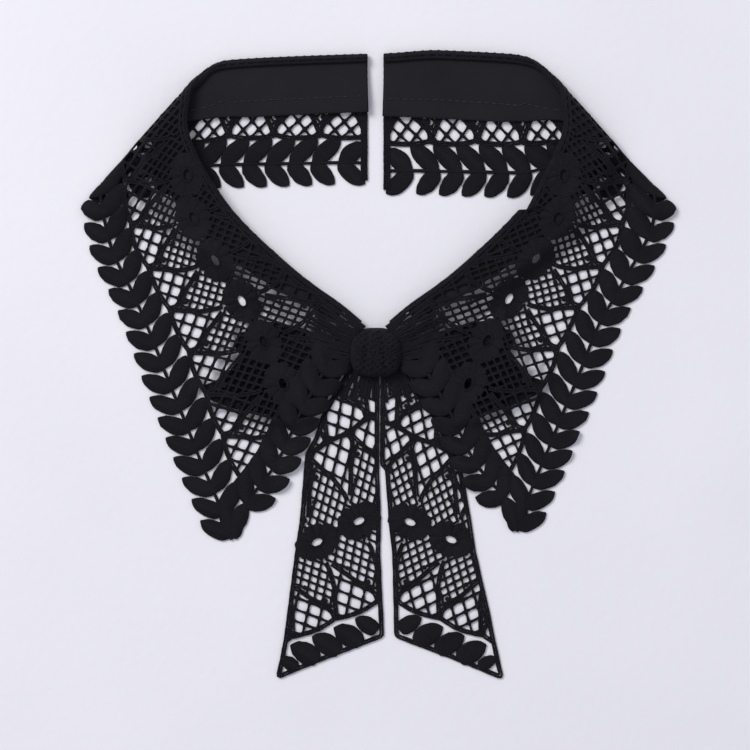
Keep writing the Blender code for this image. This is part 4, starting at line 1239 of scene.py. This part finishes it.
class MakeBow(bpy.types.Operator):
    """Make the bow's two loops, its knot and its two tails"""
    bl_idname = "collar.bow"
    bl_label = "Bow"

    def execute(self, context):
        sizes = context.scene.collar_lace
        thread = thread_of(context)
        band, lace = draw_loop_band(), draw_loop_lace(sizes).surface
        for side in ("left", "right"):
            right = side == "right"
            loop = band.mesh("loop_band_" + side, lift_loop_band, right, thread)
            settle(loop, "bow_loop_" + side)
            relief = lace.mesh("loop_lace_" + side, lift_loop_lace, right, thread)
            settle(relief)
        body = draw_knot_body().mesh("knot_band", lift_heights, False, thread)
        settle(body, "bow_knot")
        relief = draw_knot_lace(sizes).surface.mesh("knot_lace", lift_knot, False, thread)
        settle(relief)
        for side, name in ((-1, "left"), (1, "right")):
            tail = draw_tail(sizes, side).surface.mesh("lace_tail_" + name, lift_flat, False, thread)
            settle(tail, "tail_" + name)
        return {"FINISHED"}


class MakeStage(bpy.types.Operator):
    """Lay the collar on a pale leather table, lit softly from the upper left, under the camera"""
    bl_idname = "collar.stage"
    bl_label = "Table, light and camera"

    def execute(self, context):
        sizes = context.scene.collar_stage
        side = np.linspace(-TABLE_HALF, TABLE_HALF, 9)
        grid = np.stack(np.meshgrid(side, side, indexing="ij"), -1).reshape(-1, 2)
        points = np.column_stack([grid, np.full(len(grid), -TABLE_GAP)]) / MM + CENTRE
        i = np.arange(81).reshape(9, 9)
        faces = np.stack([i[:-1, :-1], i[1:, :-1], i[1:, 1:], i[:-1, 1:]], -1).reshape(-1, 4)
        table = put_mesh("table", points, faces.tolist(), grid / MM, table_material())
        aim = (VIEW_CENTRE - np.array(CENTRE[:2])) * MM
        camera = bpy.data.cameras.new("camera")
        camera.lens = camera.sensor_width * sizes.camera_height / sizes.view_width
        camera.clip_end = 10.0
        eye = bpy.data.objects.new("camera", camera)
        eye.location = (aim[0], aim[1], sizes.camera_height)
        context.scene.collection.objects.link(eye)
        context.scene.camera = eye
        lamp = bpy.data.lights.new("soft_light", "AREA")
        lamp.size = sizes.lamp_size
        lamp.energy = sizes.lamp_power
        lamp.color = srgb("fffdf9")[:3]
        light = bpy.data.objects.new("soft_light", lamp)
        light.location = LAMP_PLACE
        light.rotation_euler = light.location.to_track_quat("Z", "Y").to_euler()
        context.scene.collection.objects.link(light)
        world = context.scene.world or bpy.data.worlds.new("studio")
        context.scene.world = world
        world.use_nodes = True
        sky = world.node_tree.nodes["Background"]
        sky.inputs["Color"].default_value = srgb("f2f2fa")
        sky.inputs["Strength"].default_value = sizes.sky
        context.scene.view_settings.view_transform = "Standard"
        return {"FINISHED"}


class CollarPanel(bpy.types.Panel):
    """Buttons for each group of pieces, with their sizes"""
    bl_idname = "VIEW3D_PT_lace_collar"
    bl_label = "Lace Collar"
    bl_space_type = "VIEW_3D"
    bl_region_type = "UI"
    bl_category = "Lace Collar"

    def draw(self, context):
        for group in GROUPS:
            box = self.layout.box()
            for name in group.__annotations__:
                box.prop(getattr(context.scene, GROUPS[group]), name)
        for operator in OPERATORS:
            self.layout.operator(operator.bl_idname)


GROUPS = {LaceSizes: "collar_lace", StandSizes: "collar_stand", ThreadLook: "collar_thread",
          StageSizes: "collar_stage"}
OPERATORS = (MakeStage, MakeStands, MakeFalls, MakeBow)


def register():
    for cls in (*GROUPS, *OPERATORS, CollarPanel):
        bpy.utils.register_class(cls)
    for group, name in GROUPS.items():
        setattr(bpy.types.Scene, name, bpy.props.PointerProperty(type=group))


def unregister():
    for name in GROUPS.values():
        delattr(bpy.types.Scene, name)
    for cls in reversed((*GROUPS, *OPERATORS, CollarPanel)):
        bpy.utils.unregister_class(cls)


def main():
    register()
    bpy.ops.collar.stage()
    bpy.ops.collar.stands()
    bpy.ops.collar.falls()
    bpy.ops.collar.bow()


if __name__ == "__main__":
    main()
